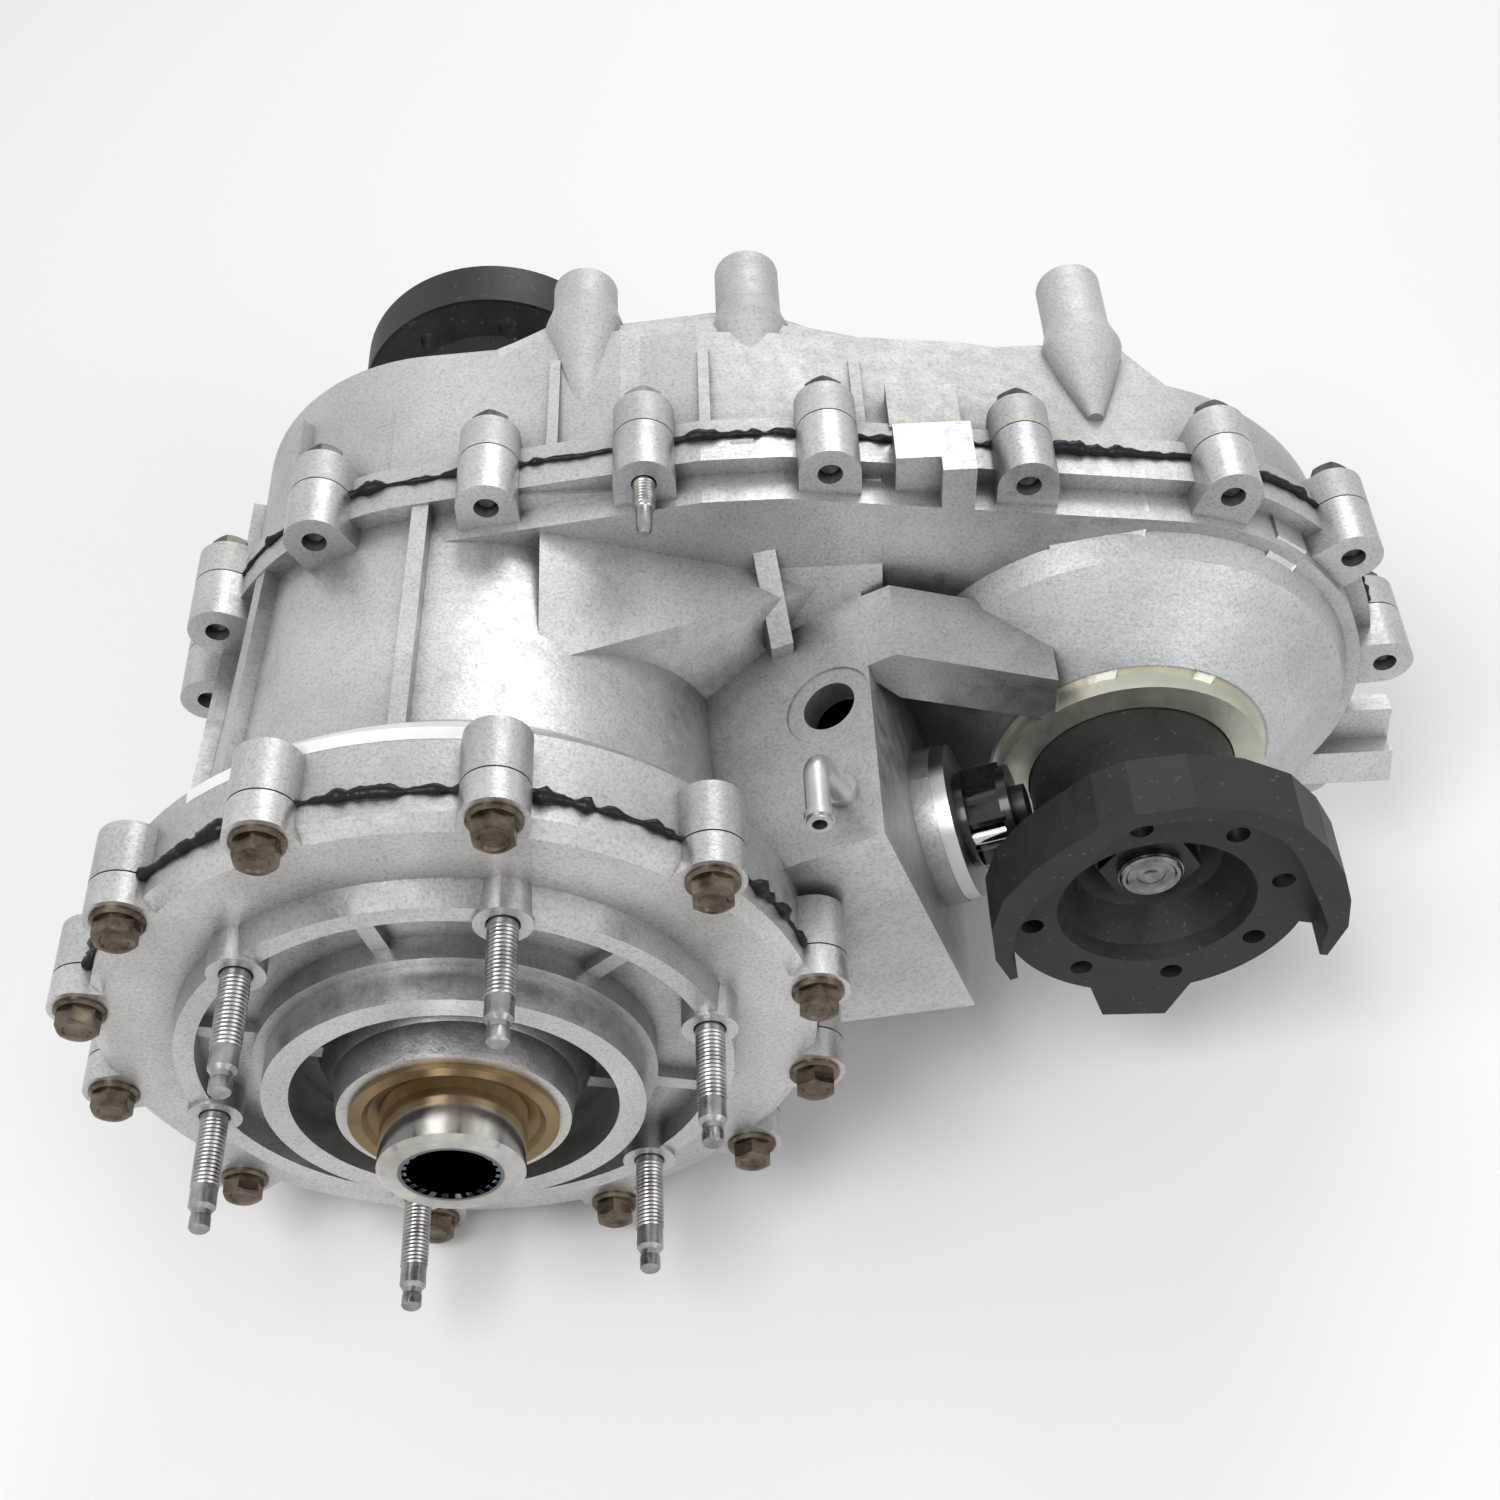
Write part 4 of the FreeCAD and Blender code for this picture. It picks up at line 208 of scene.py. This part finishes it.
def cast_metal(name, dark, light, rough=(0.34, 0.52), metallic=0.85):
    """Shot-blasted casting: sandy grain, broad tone patches, dark specks and painted shade in the corners."""
    material, tree, shader = new_material(name)
    broad = noise(tree, 14.0, 3.0)
    fine = noise(tree, 820.0, 3.0, 0.7)
    medium = noise(tree, 150.0, 3.0, 0.6)
    base = mix(tree, spread(tree, broad, 0.0, 1.0), dark, light)
    base = mix(tree, SPECK_SHARE, base, ramp(tree, fine, SPECK_STOPS), "MULTIPLY")
    # Ambient occlusion multiplies painted shade into the colour in corners, creases and recesses.
    corner = tree.nodes.new("ShaderNodeAmbientOcclusion")
    corner.samples = PAINTED_SHADE_SAMPLES
    corner.inputs["Distance"].default_value = PAINTED_SHADE_REACH
    base = mix(tree, 1.0, base, ramp(tree, corner.outputs["AO"], PAINTED_SHADE_STOPS), "MULTIPLY")
    tree.links.new(base, shader.inputs["Base Color"])
    shader.inputs["Metallic"].default_value = metallic
    tree.links.new(spread(tree, medium, *rough), shader.inputs["Roughness"])
    bump(tree, shader, ((medium, 0.4, 0.4 * MM), (fine, 0.6, 0.17 * MM)))
    return material


def turned_metal(name, dark, light, rough=(0.22, 0.4), metallic=1.0, grain=0.3, patch=40.0):
    """Smooth steel or plating with blotches of tone and gloss."""
    material, tree, shader = new_material(name)
    broad = noise(tree, patch, 4.0, 0.6)
    fine = noise(tree, 700.0, 2.0, 0.6)
    base = mix(tree, spread(tree, broad, 0.0, 1.0), dark, light)
    tree.links.new(base, shader.inputs["Base Color"])
    shader.inputs["Metallic"].default_value = metallic
    tree.links.new(spread(tree, broad, *rough), shader.inputs["Roughness"])
    bump(tree, shader, ((fine, grain, 0.1 * MM),))
    return material


def rusty_phosphate(name, dark, light, rust):
    """Dark phosphated steel with fine flecks of rust."""
    material, tree, shader = new_material(name)
    broad = noise(tree, 45.0, 4.0, 0.6)
    fleck = noise(tree, 420.0, 2.0, 0.5)
    fine = noise(tree, 900.0, 2.0, 0.6)
    base = mix(tree, spread(tree, broad, 0.0, 1.0), dark, light)
    rusted = mix(tree, ramp(tree, fleck, RUST_STOPS), base, rust)
    tree.links.new(rusted, shader.inputs["Base Color"])
    shader.inputs["Specular IOR Level"].default_value = 0.28
    tree.links.new(spread(tree, broad, 0.42, 0.6), shader.inputs["Roughness"])
    bump(tree, shader, ((broad, 0.2, 0.3 * MM), (fine, 0.5, 0.12 * MM)))
    return material


def rubber(name, colour, rough, lumps=60.0, height=0.6 * MM, specular=0.4):
    """Black sealant, plastic or rubber, with low lumps."""
    material, tree, shader = new_material(name)
    broad = noise(tree, lumps, 3.0, 0.5)
    fine = noise(tree, 500.0, 2.0)
    shader.inputs["Specular IOR Level"].default_value = specular
    lighter = tuple(min(1.0, c * 1.8 + 0.003) for c in colour)
    base = mix(tree, spread(tree, fine, 0.0, 1.0), colour, lighter)
    tree.links.new(base, shader.inputs["Base Color"])
    tree.links.new(spread(tree, broad, *rough), shader.inputs["Roughness"])
    bump(tree, shader, ((broad, 0.6, height), (fine, 0.25, 0.1 * MM)))
    return material


# ---------------------------------------------------------------- finish of each material slot
FINISHES = {
    "front_case_aluminium": (cast_metal, {"dark": (0.38, 0.385, 0.39), "light": (0.56, 0.565, 0.57)}),
    "rear_case_aluminium": (cast_metal, {
        "dark": (0.40, 0.39, 0.37), "light": (0.53, 0.52, 0.50), "rough": (0.5, 0.66), "metallic": 0.55,
    }),
    "retainer_aluminium": (cast_metal, {
        "dark": (0.44, 0.435, 0.425), "light": (0.62, 0.61, 0.595), "rough": (0.28, 0.46),
    }),
    "black_sealant": (rubber, {"colour": (0.004, 0.004, 0.005), "rough": (0.28, 0.5), "specular": 0.22}),
    "bronze_zinc_bolts": (turned_metal, {
        "dark": (0.050, 0.040, 0.028), "light": (0.19, 0.16, 0.12), "rough": (0.18, 0.34),
        "grain": 0.4, "patch": 160.0,
    }),
    "dark_bolts": (turned_metal, {
        "dark": (0.055, 0.050, 0.045), "light": (0.17, 0.155, 0.14), "rough": (0.25, 0.42),
        "grain": 0.4, "patch": 160.0,
    }),
    "grey_zinc_stud": (turned_metal, {
        "dark": (0.20, 0.19, 0.175), "light": (0.42, 0.41, 0.39), "rough": (0.22, 0.38),
        "grain": 0.4, "patch": 130.0,
    }),
    "hidden_steel": (turned_metal, {"dark": (0.35, 0.35, 0.36), "light": (0.5, 0.5, 0.5)}),
    "bearing_steel": (turned_metal, {"dark": (0.5, 0.5, 0.52), "light": (0.65, 0.65, 0.66)}),
    "seal_brown": (turned_metal, {
        "dark": (0.14, 0.095, 0.04), "light": (0.30, 0.22, 0.11), "rough": (0.3, 0.5),
    }),
    "seal_rubber": (rubber, {"colour": (0.02, 0.02, 0.02), "rough": (0.4, 0.6)}),
    "gear_steel": (turned_metal, {"dark": (0.3, 0.3, 0.31), "light": (0.46, 0.46, 0.47)}),
    "shaft_steel": (turned_metal, {
        "dark": (0.10, 0.10, 0.095), "light": (0.30, 0.29, 0.28), "rough": (0.12, 0.28), "patch": 120.0,
    }),
    "polished_hub": (turned_metal, {
        "dark": (0.30, 0.28, 0.25), "light": (0.62, 0.60, 0.57), "rough": (0.08, 0.2),
        "grain": 0.08, "patch": 55.0,
    }),
    "dark_flange": (rusty_phosphate, {
        "dark": (0.010, 0.010, 0.010), "light": (0.026, 0.026, 0.025), "rust": (0.12, 0.065, 0.028),
    }),
    "dark_nut": (turned_metal, {
        "dark": (0.02, 0.019, 0.018), "light": (0.06, 0.056, 0.052), "rough": (0.25, 0.45), "metallic": 0.8,
    }),
    "fork_aluminium": (cast_metal, {"dark": (0.42, 0.42, 0.42), "light": (0.54, 0.54, 0.54)}),
    "vent_metal": (turned_metal, {
        "dark": (0.34, 0.34, 0.32), "light": (0.56, 0.56, 0.54), "rough": (0.25, 0.45),
    }),
    "black_plastic": (rubber, {
        "colour": (0.010, 0.010, 0.011), "rough": (0.12, 0.28), "lumps": 90.0, "height": 0.1 * MM,
    }),
    "black_rubber": (rubber, {
        "colour": (0.015, 0.015, 0.015), "rough": (0.35, 0.5), "lumps": 90.0, "height": 0.1 * MM,
    }),
    "bright_screw": (turned_metal, {
        "dark": (0.45, 0.43, 0.40), "light": (0.74, 0.72, 0.69), "rough": (0.08, 0.2),
    }),
    "disc_aluminium": (turned_metal, {
        "dark": (0.40, 0.41, 0.42), "light": (0.60, 0.61, 0.62), "rough": (0.3, 0.45),
    }),
}
MATERIALS = {name: make(name, **values) for name, (make, values) in FINISHES.items()}
SPLINE_DARK_R = 17.2 * MM
SPLINE_COLOUR = (0.13, 0.14, 0.15)
BOSS_FACE_Y = 130.5 * MM
BOSS_FACE_R = 51.5 * MM
BOSS_FACE_COLOUR = (0.60, 0.585, 0.50)


def spline_bore(tree):
    """Mask of the input hub's inside, where the spline is unpolished."""
    return near_axis(tree, *MAIN_AXIS, SPLINE_DARK_R)


def boss_face(tree):
    """Mask of the machined front of the output boss."""
    both = tree.nodes.new("ShaderNodeMath")
    both.operation = "MULTIPLY"
    tree.links.new(near_axis(tree, *OUT_AXIS, BOSS_FACE_R), both.inputs[0])
    tree.links.new(before_y(tree, BOSS_FACE_Y), both.inputs[1])
    return both.outputs[0]


repaint(MATERIALS["polished_hub"], spline_bore, SPLINE_COLOUR)
repaint(MATERIALS["front_case_aluminium"], boss_face, BOSS_FACE_COLOUR)
for row in frame["record"]["subparts"]:
    node = NODES[row["node"]]
    node.data.materials.clear()
    node.data.materials.append(MATERIALS[row["material_slot"]])


# ---------------------------------------------------------------- mesh helpers
def add_piece(name, verts, faces, body, material, slot=None, crease=32.0):
    """Mesh in metres that rides with a body of the frame; edges sharper than crease stay crisp."""
    mesh = bpy.data.meshes.new(name)
    mesh.from_pydata([tuple(v) for v in verts], [], faces)
    mesh.shade_smooth()
    mesh.set_sharp_from_angle(angle=math.radians(crease))
    mesh.materials.append(material)
    piece = bpy.data.objects.new(name, mesh)
    bpy.context.scene.collection.objects.link(piece)
    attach(piece, body)
    return piece


def rings(loops, wrap=False):
    """Skin over loops of equally many points; wrap joins the last to the first, or both ends are closed."""
    sides = len(loops[0])
    verts = [point for loop in loops for point in loop]
    faces = []
    for k in range(len(loops) if wrap else len(loops) - 1):
        a = k * sides
        b = (k + 1) % len(loops) * sides
        for j in range(sides):
            n = (j + 1) % sides
            faces.append((a + j, a + n, b + n, b + j))
    if not wrap:
        faces.append(tuple(range(sides))[::-1])
        faces.append(tuple(range(len(verts) - sides, len(verts))))
    return verts, faces


def joined(parts):
    """Several (verts, faces) as one."""
    verts = []
    faces = []
    for part_verts, part_faces in parts:
        start = len(verts)
        verts += part_verts
        faces += [tuple(index + start for index in face) for face in part_faces]
    return verts, faces


WELD_GRID = 1e5


def solids_of(node):
    """(low, high) corners of each separate solid of a CAD node."""
    mesh = NODES[node].data
    keys = {}
    weld = [keys.setdefault(tuple(round(c * WELD_GRID) for c in v.co), len(keys)) for v in mesh.vertices]
    above = list(range(len(keys)))

    def root(k):
        while above[k] != k:
            above[k] = above[above[k]]
            k = above[k]
        return k

    for polygon in mesh.polygons:
        first = root(weld[polygon.vertices[0]])
        for index in polygon.vertices:
            above[root(weld[index])] = first
    groups = {}
    for vertex, k in zip(mesh.vertices, weld):
        groups.setdefault(root(k), []).append(vertex.co)
    boxes = []
    for points in groups.values():
        low = Vector([min(axis) for axis in zip(*points)])
        high = Vector([max(axis) for axis in zip(*points)])
        boxes.append((low, high))
    return sorted(boxes, key=lambda box: (round(box[0].x, 5), round(box[0].z, 5)))


def outer_loop(node, step):
    """Points (x, z) evenly along the convex outline of a thin CAD sheet that lies across Y."""
    flat = sorted({(round(v.co.x, 6), round(v.co.z, 6)) for v in NODES[node].data.vertices})

    def chain(points):
        kept = []
        for x, z in points:
            while len(kept) > 1:
                (ax, az), (bx, bz) = kept[-2:]
                if (bx - ax) * (z - az) - (bz - az) * (x - ax) > 0:
                    break
                kept.pop()
            kept.append((x, z))
        return kept[:-1]

    corners = chain(flat) + chain(flat[::-1])
    loop = []
    for (ax, az), (bx, bz) in zip(corners, corners[1:] + corners[:1]):
        count = max(1, round(math.hypot(bx - ax, bz - az) / step))
        loop += [(ax + (bx - ax) * k / count, az + (bz - az) * k / count) for k in range(count)]
    return loop


# ---------------------------------------------------------------- sealant beads
BEAD_STEP = 1.3 * MM
BEAD_SIDES = 9
LUMP_SCALE = 230
PATCH_SCALE = 40
WANDER_SCALE = 110
PIMPLE_SCALE = 600
PIMPLE_SPREAD = 3
PIMPLE_SHARE = 0.3
BEAD_LEAST = 0.3
BEAD_MEAN = 0.85
LUMP_SHARE = 0.9
PATCH_SHARE = 0.8
BEAD_LIFT = 0.35
WANDER_OUT = 0.3 * MM
WANDER_ACROSS = 0.9 * MM
BEAD_CREASE = 80.0
Y_AXIS = Vector((0, 1, 0))


def bead(name, node, seed, swell, seat):
    """Lumpy ridge of sealant squeezed out all along a joint; swell is its radius, seat its place outwards."""
    low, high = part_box(node)
    y = (low.y + high.y) / 2
    loop = outer_loop(node, BEAD_STEP)
    loops = []
    for k, (x, z) in enumerate(loop):
        before = loop[k - 1]
        after = loop[(k + 1) % len(loop)]
        along = Vector((after[0] - before[0], 0, after[1] - before[1])).normalized()
        out = Vector((along.z, 0, -along.x))
        here = Vector((x, y, z))
        lump = field.noise(here * LUMP_SCALE + Vector((seed, 0, 0)))
        patch = field.noise(here * PATCH_SCALE + Vector((0, seed, 0)))
        wander = field.noise(here * WANDER_SCALE + Vector((0, 0, seed)))
        thick = swell * max(BEAD_LEAST, BEAD_MEAN + LUMP_SHARE * lump + PATCH_SHARE * patch)
        reach = seat + BEAD_LIFT * thick + WANDER_OUT * wander
        centre = here + out * reach + Y_AXIS * (WANDER_ACROSS * wander)
        ring = []
        for j in range(BEAD_SIDES):
            angle = math.tau * j / BEAD_SIDES
            around = Vector((PIMPLE_SPREAD * math.cos(angle), seed, PIMPLE_SPREAD * math.sin(angle)))
            rough = 1 + PIMPLE_SHARE * field.noise(here * PIMPLE_SCALE + around)
            way = out * math.cos(angle) + Y_AXIS * math.sin(angle)
            ring.append(centre + way * thick * rough)
        loops.append(ring)
    verts, faces = rings(loops, wrap=True)
    add_piece(name, verts, faces, "case", MATERIALS["black_sealant"], "black_sealant", BEAD_CREASE)


bead("case_joint_bead", "case_sealant", 4.0, 1.7 * MM, -0.8 * MM)
bead("retainer_joint_bead", "retainer_sealant", 9.0, 2.0 * MM, -0.9 * MM)


# ---------------------------------------------------------------- bolts and studs
HEX_SIDES = 48
ROUND_SIDES = 32
PITCH = 1.5 * MM
THREAD_STEP = PITCH / 6
BOLT_R = 4.0 * MM
BOLT_AF = 13.0 * MM
BOLT_FLANGE_R = 8.9 * MM
BOLT_FLANGE_T = 1.8 * MM
BOLT_TOP = 8.0 * MM
TIP_INSET = 0.7 * MM
TIP_LENGTH = 0.8 * MM
RIM_T = 0.9 * MM
RIM_BEVEL = 0.5 * MM
RIM_BEVEL_TOP = 1.3 * MM
FLANGE_SHOULDER = 1.4 * MM
CROWN_INSET = 0.5 * MM
CHAMFER = math.radians(30)
DISH_INSET = 1.2 * MM
DISH_FOOT_INSET = 1.9 * MM
DISH_FOOT_DEPTH = 0.7 * MM
DISH_R = 0.6 * MM
DISH_DEPTH = 0.9 * MM


def hex_radius(angle):
    """Distance from the axis to the side of the bolt's hexagon."""
    return BOLT_AF / 2 / math.cos((angle + math.pi / 6) % (math.pi / 3) - math.pi / 6)


def bolt_mesh(x, z, seat, facing, shank_r, shank_end):
    """Hex flange bolt with a chamfered, dished head; facing +1 points the head towards +Y."""
    crown_r = BOLT_AF / 2 - CROWN_INSET
    profile = [
        (shank_r - TIP_INSET, shank_end),
        (shank_r, shank_end + TIP_LENGTH),
        (shank_r, 0),
        (BOLT_FLANGE_R, 0),
        (BOLT_FLANGE_R, RIM_T),
        (BOLT_FLANGE_R - RIM_BEVEL, RIM_BEVEL_TOP),
        (BOLT_AF / 2 + FLANGE_SHOULDER, BOLT_FLANGE_T),
        "hexagon",
        "chamfer",
        (crown_r, BOLT_TOP),
        (crown_r - DISH_INSET, BOLT_TOP),
        (crown_r - DISH_FOOT_INSET, BOLT_TOP - DISH_FOOT_DEPTH),
        (DISH_R, BOLT_TOP - DISH_DEPTH),
    ]
    loops = []
    for station in profile:
        ring = []
        for j in range(HEX_SIDES):
            angle = math.tau * j / HEX_SIDES
            if station == "hexagon":
                r = hex_radius(angle)
                h = BOLT_FLANGE_T
            elif station == "chamfer":
                r = hex_radius(angle)
                h = BOLT_TOP - (r - crown_r) * math.tan(CHAMFER)
            else:
                r, h = station
            ring.append(Vector((x + r * math.cos(angle), seat + facing * h, z + r * math.sin(angle))))
        loops.append(ring)
    return rings(loops)


def stations(start, rows):
    """Rows of (length, radius, thread depth) in millimetres as (y, radius, depth) in metres, from start."""
    return [(start + length * MM, radius * MM, depth * MM) for length, radius, depth in rows]


def screw_mesh(x, z, profile):
    """Round bar along Y with a helical thread; profile is (y, radius, thread depth)."""
    samples = []
    for (ya, ra, da), (yb, rb, db) in zip(profile, profile[1:]):
        steps = max(1, round(abs(yb - ya) / THREAD_STEP)) if da or db else 1
        for k in range(steps):
            t = k / steps
            samples.append((ya + (yb - ya) * t, ra + (rb - ra) * t, da + (db - da) * t))
    samples.append(profile[-1])
    loops = []
    for y, radius, depth in samples:
        ring = []
        for j in range(ROUND_SIDES):
            turn = j / ROUND_SIDES
            r = radius - depth * abs((y / PITCH + turn) % 1.0 * 2 - 1)
            angle = math.tau * turn
            ring.append(Vector((x + r * math.cos(angle), y, z + r * math.sin(angle))))
        loops.append(ring)
    return rings(loops)


def dress_bolts(name, node, facing, slot):
    """Detailed bolts in the place of every plain bolt of a CAD node."""
    bolts = []
    for low, high in solids_of(node):
        seat = high.y - BOLT_TOP if facing > 0 else low.y + BOLT_TOP
        end = low.y - seat if facing > 0 else seat - high.y
        bolts.append(bolt_mesh(*middle((low, high)), seat, facing, BOLT_R, end))
    piece = add_piece(name, *joined(bolts), "case", MATERIALS[slot], slot)
    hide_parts(node)


dress_bolts("retainer_hex_bolts", "retainer_bolts", -1, "bronze_zinc_bolts")
dress_bolts("case_hex_bolts", "case_bolts", 1, "dark_bolts")

# Rows of (length, radius, thread depth) in millimetres: a stud's shank in the retainer, its collar on
# the face, and its threaded and stepped end counted from the tip.
STUD_SHANK = ((0.0, 4.2, 0.0),)
STUD_COLLAR = ((0.2, 4.2, 0.0), (0.1, 4.9, 0.0), (-2.0, 4.9, 0.0), (-3.0, 5.0, 0.42))
STUD_END = (
    (16.0, 5.0, 0.42), (15.0, 4.6, 0.0), (8.5, 4.7, 0.0), (7.0, 3.5, 0.0),
    (5.2, 3.3, 0.0), (4.6, 3.6, 0.0), (0.8, 3.6, 0.0), (0.0, 2.9, 0.0),
)
studs = []
for low, high in solids_of("transmission_studs"):
    profile = stations(high.y, STUD_SHANK) + stations(0.0, STUD_COLLAR) + stations(low.y, STUD_END)
    studs.append(screw_mesh(*middle((low, high)), profile))
piece = add_piece(
    "threaded_transmission_studs", *joined(studs), "case", MATERIALS["grey_zinc_stud"], "grey_zinc_stud",
)
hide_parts("transmission_studs")

# The case stud in the same rows, from the head's seat, from the collar and from the tip.
CASE_STUD_R = 3.5 * MM
CASE_STUD_NECK = 4.0 * MM
CASE_STUD_COLLAR = 25.0 * MM
CASE_STUD_SHANK = ((0.0, 3.5, 0.0),)
CASE_STUD_THREAD = (
    (0.0, 3.5, 0.0), (-0.1, 4.0, 0.0), (-1.0, 4.0, 0.0),
    (-1.5, 4.0, 0.5), (-12.0, 4.0, 0.5), (-13.0, 3.0, 0.0),
)
CASE_STUD_TIP = ((2.4, 2.8, 0.0), (0.0, 1.6, 0.0))
stud_low, stud_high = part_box("case_stud")
stud_seat = stud_high.y - BOLT_TOP
stud_axis = middle((stud_low, stud_high))
case_stud = joined([
    bolt_mesh(*stud_axis, stud_seat, 1, CASE_STUD_R, -CASE_STUD_NECK),
    screw_mesh(*stud_axis, stations(stud_seat, CASE_STUD_SHANK)
               + stations(stud_low.y + CASE_STUD_COLLAR, CASE_STUD_THREAD)
               + stations(stud_low.y, CASE_STUD_TIP)),
])
piece = add_piece("threaded_case_stud", *case_stud, "case", MATERIALS["grey_zinc_stud"], "grey_zinc_stud")
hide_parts("case_stud")


# ---------------------------------------------------------------- centred ends of the two output shafts
# Rows of (radius, height above the CAD end) in millimetres.
SHAFT_END_PROFILE = (
    (11.5, 0.0), (11.5, 0.9), (10.7, 1.6), (9.4, 1.6), (8.6, 0.9),
    (5.4, 0.6), (4.6, 1.0), (3.6, 1.0), (2.2, 0.4), (0.3, 0.15),
)


def shaft_end(name, node, body, axis, facing):
    """Bevelled ring and shallow centre hole on a shaft's end; facing is the way the end looks along Y."""
    low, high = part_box(node)
    end = low.y if facing < 0 else high.y
    loops = []
    for radius, height in SHAFT_END_PROFILE:
        r = radius * MM
        y = end + facing * height * MM
        ring = []
        for j in range(ROUND_SIDES):
            angle = math.tau * j / ROUND_SIDES
            ring.append(Vector((axis[0] + r * math.cos(angle), y, axis[1] + r * math.sin(angle))))
        loops.append(ring)
    add_piece(name, *rings(loops), body, MATERIALS["shaft_steel"], "shaft_steel")


shaft_end("front_shaft_end", "front_output_shaft", "front_output", OUT_AXIS, -1)
shaft_end("rear_shaft_end", "mainshaft", "mainshaft", MAIN_AXIS, 1)


# ---------------------------------------------------------------- blank paper sticker on the barrel
# Rows of (distance from the input axis, y) in millimetres, down the barrel's rim and wall.
STICKER_PROFILE = ((122.0, 45.2), (122.0, 50.0), (117.0, 56.0), (112.0, 60.8))
STICKER_FROM = 80
STICKER_TO = 128
STICKER_STEP = 2
STICKER_TOP = 0.192
STICKER_UNDER = 0.036
STICKER_LEAN = 0.5


def paper(name):
    """Slightly crumpled white paper."""
    material, tree, shader = new_material(name)
    crumple = noise(tree, 70.0, 3.0)
    base = mix(tree, spread(tree, crumple, 0.0, 1.0), (0.78, 0.78, 0.77), (0.88, 0.88, 0.87))
    tree.links.new(base, shader.inputs["Base Color"])
    shader.inputs["Roughness"].default_value = 0.45
    bump(tree, shader, ((crumple, 0.25, 0.4 * MM),))
    return material


strips = []
for degrees in range(STICKER_FROM, STICKER_TO + 1, STICKER_STEP):
    angle = math.radians(degrees)
    strip = []
    for lift, profile in ((STICKER_TOP, STICKER_PROFILE), (STICKER_UNDER, STICKER_PROFILE[::-1])):
        for radius, y in profile:
            r = radius + lift
            strip.append(Vector((r * math.cos(angle), y + lift * STICKER_LEAN, r * math.sin(angle))) * MM)
    strips.append(strip)
add_piece("blank_sticker", *rings(strips), "case", paper("sticker_paper"))


# ---------------------------------------------------------------- light, floor and camera
SOFT_STRENGTH = 0.4
SEEN_STRENGTH = 1.0
SEEN_BY = ("Is Camera Ray", "Is Transmission Ray", "Is Glossy Ray")
FLOOR_HALF = 4.0
FLOOR_GAP = 2.0 * MM
FLOOR_PLACE = (0.1, 0.15)
FLOOR_WHITE = (0.92, 0.92, 0.92, 1.0)
FLOOR_ROUGH = 0.9
LAMP_TARGET = (0.12, 0.15, 0.0)
# Name, place, width in metres and power in watts.
LAMPS = (
    ("key", (-0.5, -0.6, 1.5), 0.9, 17.0),
    ("fill", (1.3, -0.7, 0.9), 1.0, 7.0),
    ("back", (0.4, 1.5, 1.1), 0.9, 9.0),
)
CAMERA_PLACE = (0.10403, -0.37972, 0.61436)
CAMERA_LENS = 50.708
CAMERA_SENSOR = 36.0
ELEVATION = math.radians(49.94)
AZIMUTH = math.radians(-0.04)
ROLL = math.radians(-2.78)


def background(tree, strength):
    """White background of a given strength."""
    node = tree.nodes.new("ShaderNodeBackground")
    node.inputs["Color"].default_value = (1.0, 1.0, 1.0, 1.0)
    node.inputs["Strength"].default_value = strength
    return node.outputs[0]


def add_world():
    """Dim white light all round that looks fully white to the camera, in reflections and through glass."""
    world = bpy.data.worlds.new("world")
    bpy.context.scene.world = world
    world.use_nodes = True
    tree = world.node_tree
    tree.nodes.clear()
    out = tree.nodes.new("ShaderNodeOutputWorld")
    path = tree.nodes.new("ShaderNodeLightPath")
    seen = path.outputs[SEEN_BY[0]]
    for kind in SEEN_BY[1:]:
        either = tree.nodes.new("ShaderNodeMath")
        either.operation = "MAXIMUM"
        tree.links.new(seen, either.inputs[0])
        tree.links.new(path.outputs[kind], either.inputs[1])
        seen = either.outputs[0]
    blend = tree.nodes.new("ShaderNodeMixShader")
    tree.links.new(seen, blend.inputs[0])
    tree.links.new(background(tree, SOFT_STRENGTH), blend.inputs[1])
    tree.links.new(background(tree, SEEN_STRENGTH), blend.inputs[2])
    tree.links.new(blend.outputs[0], out.inputs[0])


def add_floor():
    """White floor just under the part."""
    mesh = bpy.data.meshes.new("floor")
    corners = [(x * FLOOR_HALF, y * FLOOR_HALF, 0) for x, y in ((-1, -1), (1, -1), (1, 1), (-1, 1))]
    mesh.from_pydata(corners, [], [(0, 1, 2, 3)])
    material, _, shader = new_material("floor_white")
    shader.inputs["Base Color"].default_value = FLOOR_WHITE
    shader.inputs["Roughness"].default_value = FLOOR_ROUGH
    mesh.materials.append(material)
    floor = bpy.data.objects.new("floor", mesh)
    floor.location = (*FLOOR_PLACE, CAD_BOX[0][2] - FLOOR_GAP)
    bpy.context.scene.collection.objects.link(floor)


def add_lamp(name, place, width, power):
    """Round area lamp that looks at the part."""
    data = bpy.data.lights.new(name, "AREA")
    data.shape = "DISK"
    data.size = width
    data.energy = power
    lamp = bpy.data.objects.new(name, data)
    lamp.location = place
    lamp.rotation_euler = (Vector(LAMP_TARGET) - Vector(place)).to_track_quat("-Z", "Y").to_euler()
    bpy.context.scene.collection.objects.link(lamp)


def add_camera():
    """Camera above and in front of the input side, turned by elevation, azimuth and roll."""
    data = bpy.data.cameras.new("camera")
    data.sensor_width = CAMERA_SENSOR
    data.lens = CAMERA_LENS
    camera = bpy.data.objects.new("camera", data)
    bpy.context.scene.collection.objects.link(camera)
    level = math.cos(ELEVATION)
    forward = Vector((-math.sin(AZIMUTH) * level, math.cos(AZIMUTH) * level, -math.sin(ELEVATION)))
    right = Vector((math.cos(AZIMUTH), math.sin(AZIMUTH), 0.0))
    above = right.cross(forward)
    side = math.cos(ROLL) * right + math.sin(ROLL) * above
    up = -math.sin(ROLL) * right + math.cos(ROLL) * above
    turn = Matrix((side, up, -forward)).transposed()
    camera.matrix_world = Matrix.Translation(CAMERA_PLACE) @ turn.to_4x4()
    bpy.context.scene.camera = camera


add_world()
add_floor()
for lamp_values in LAMPS:
    add_lamp(*lamp_values)
add_camera()
bpy.context.scene.view_settings.view_transform = "Standard"
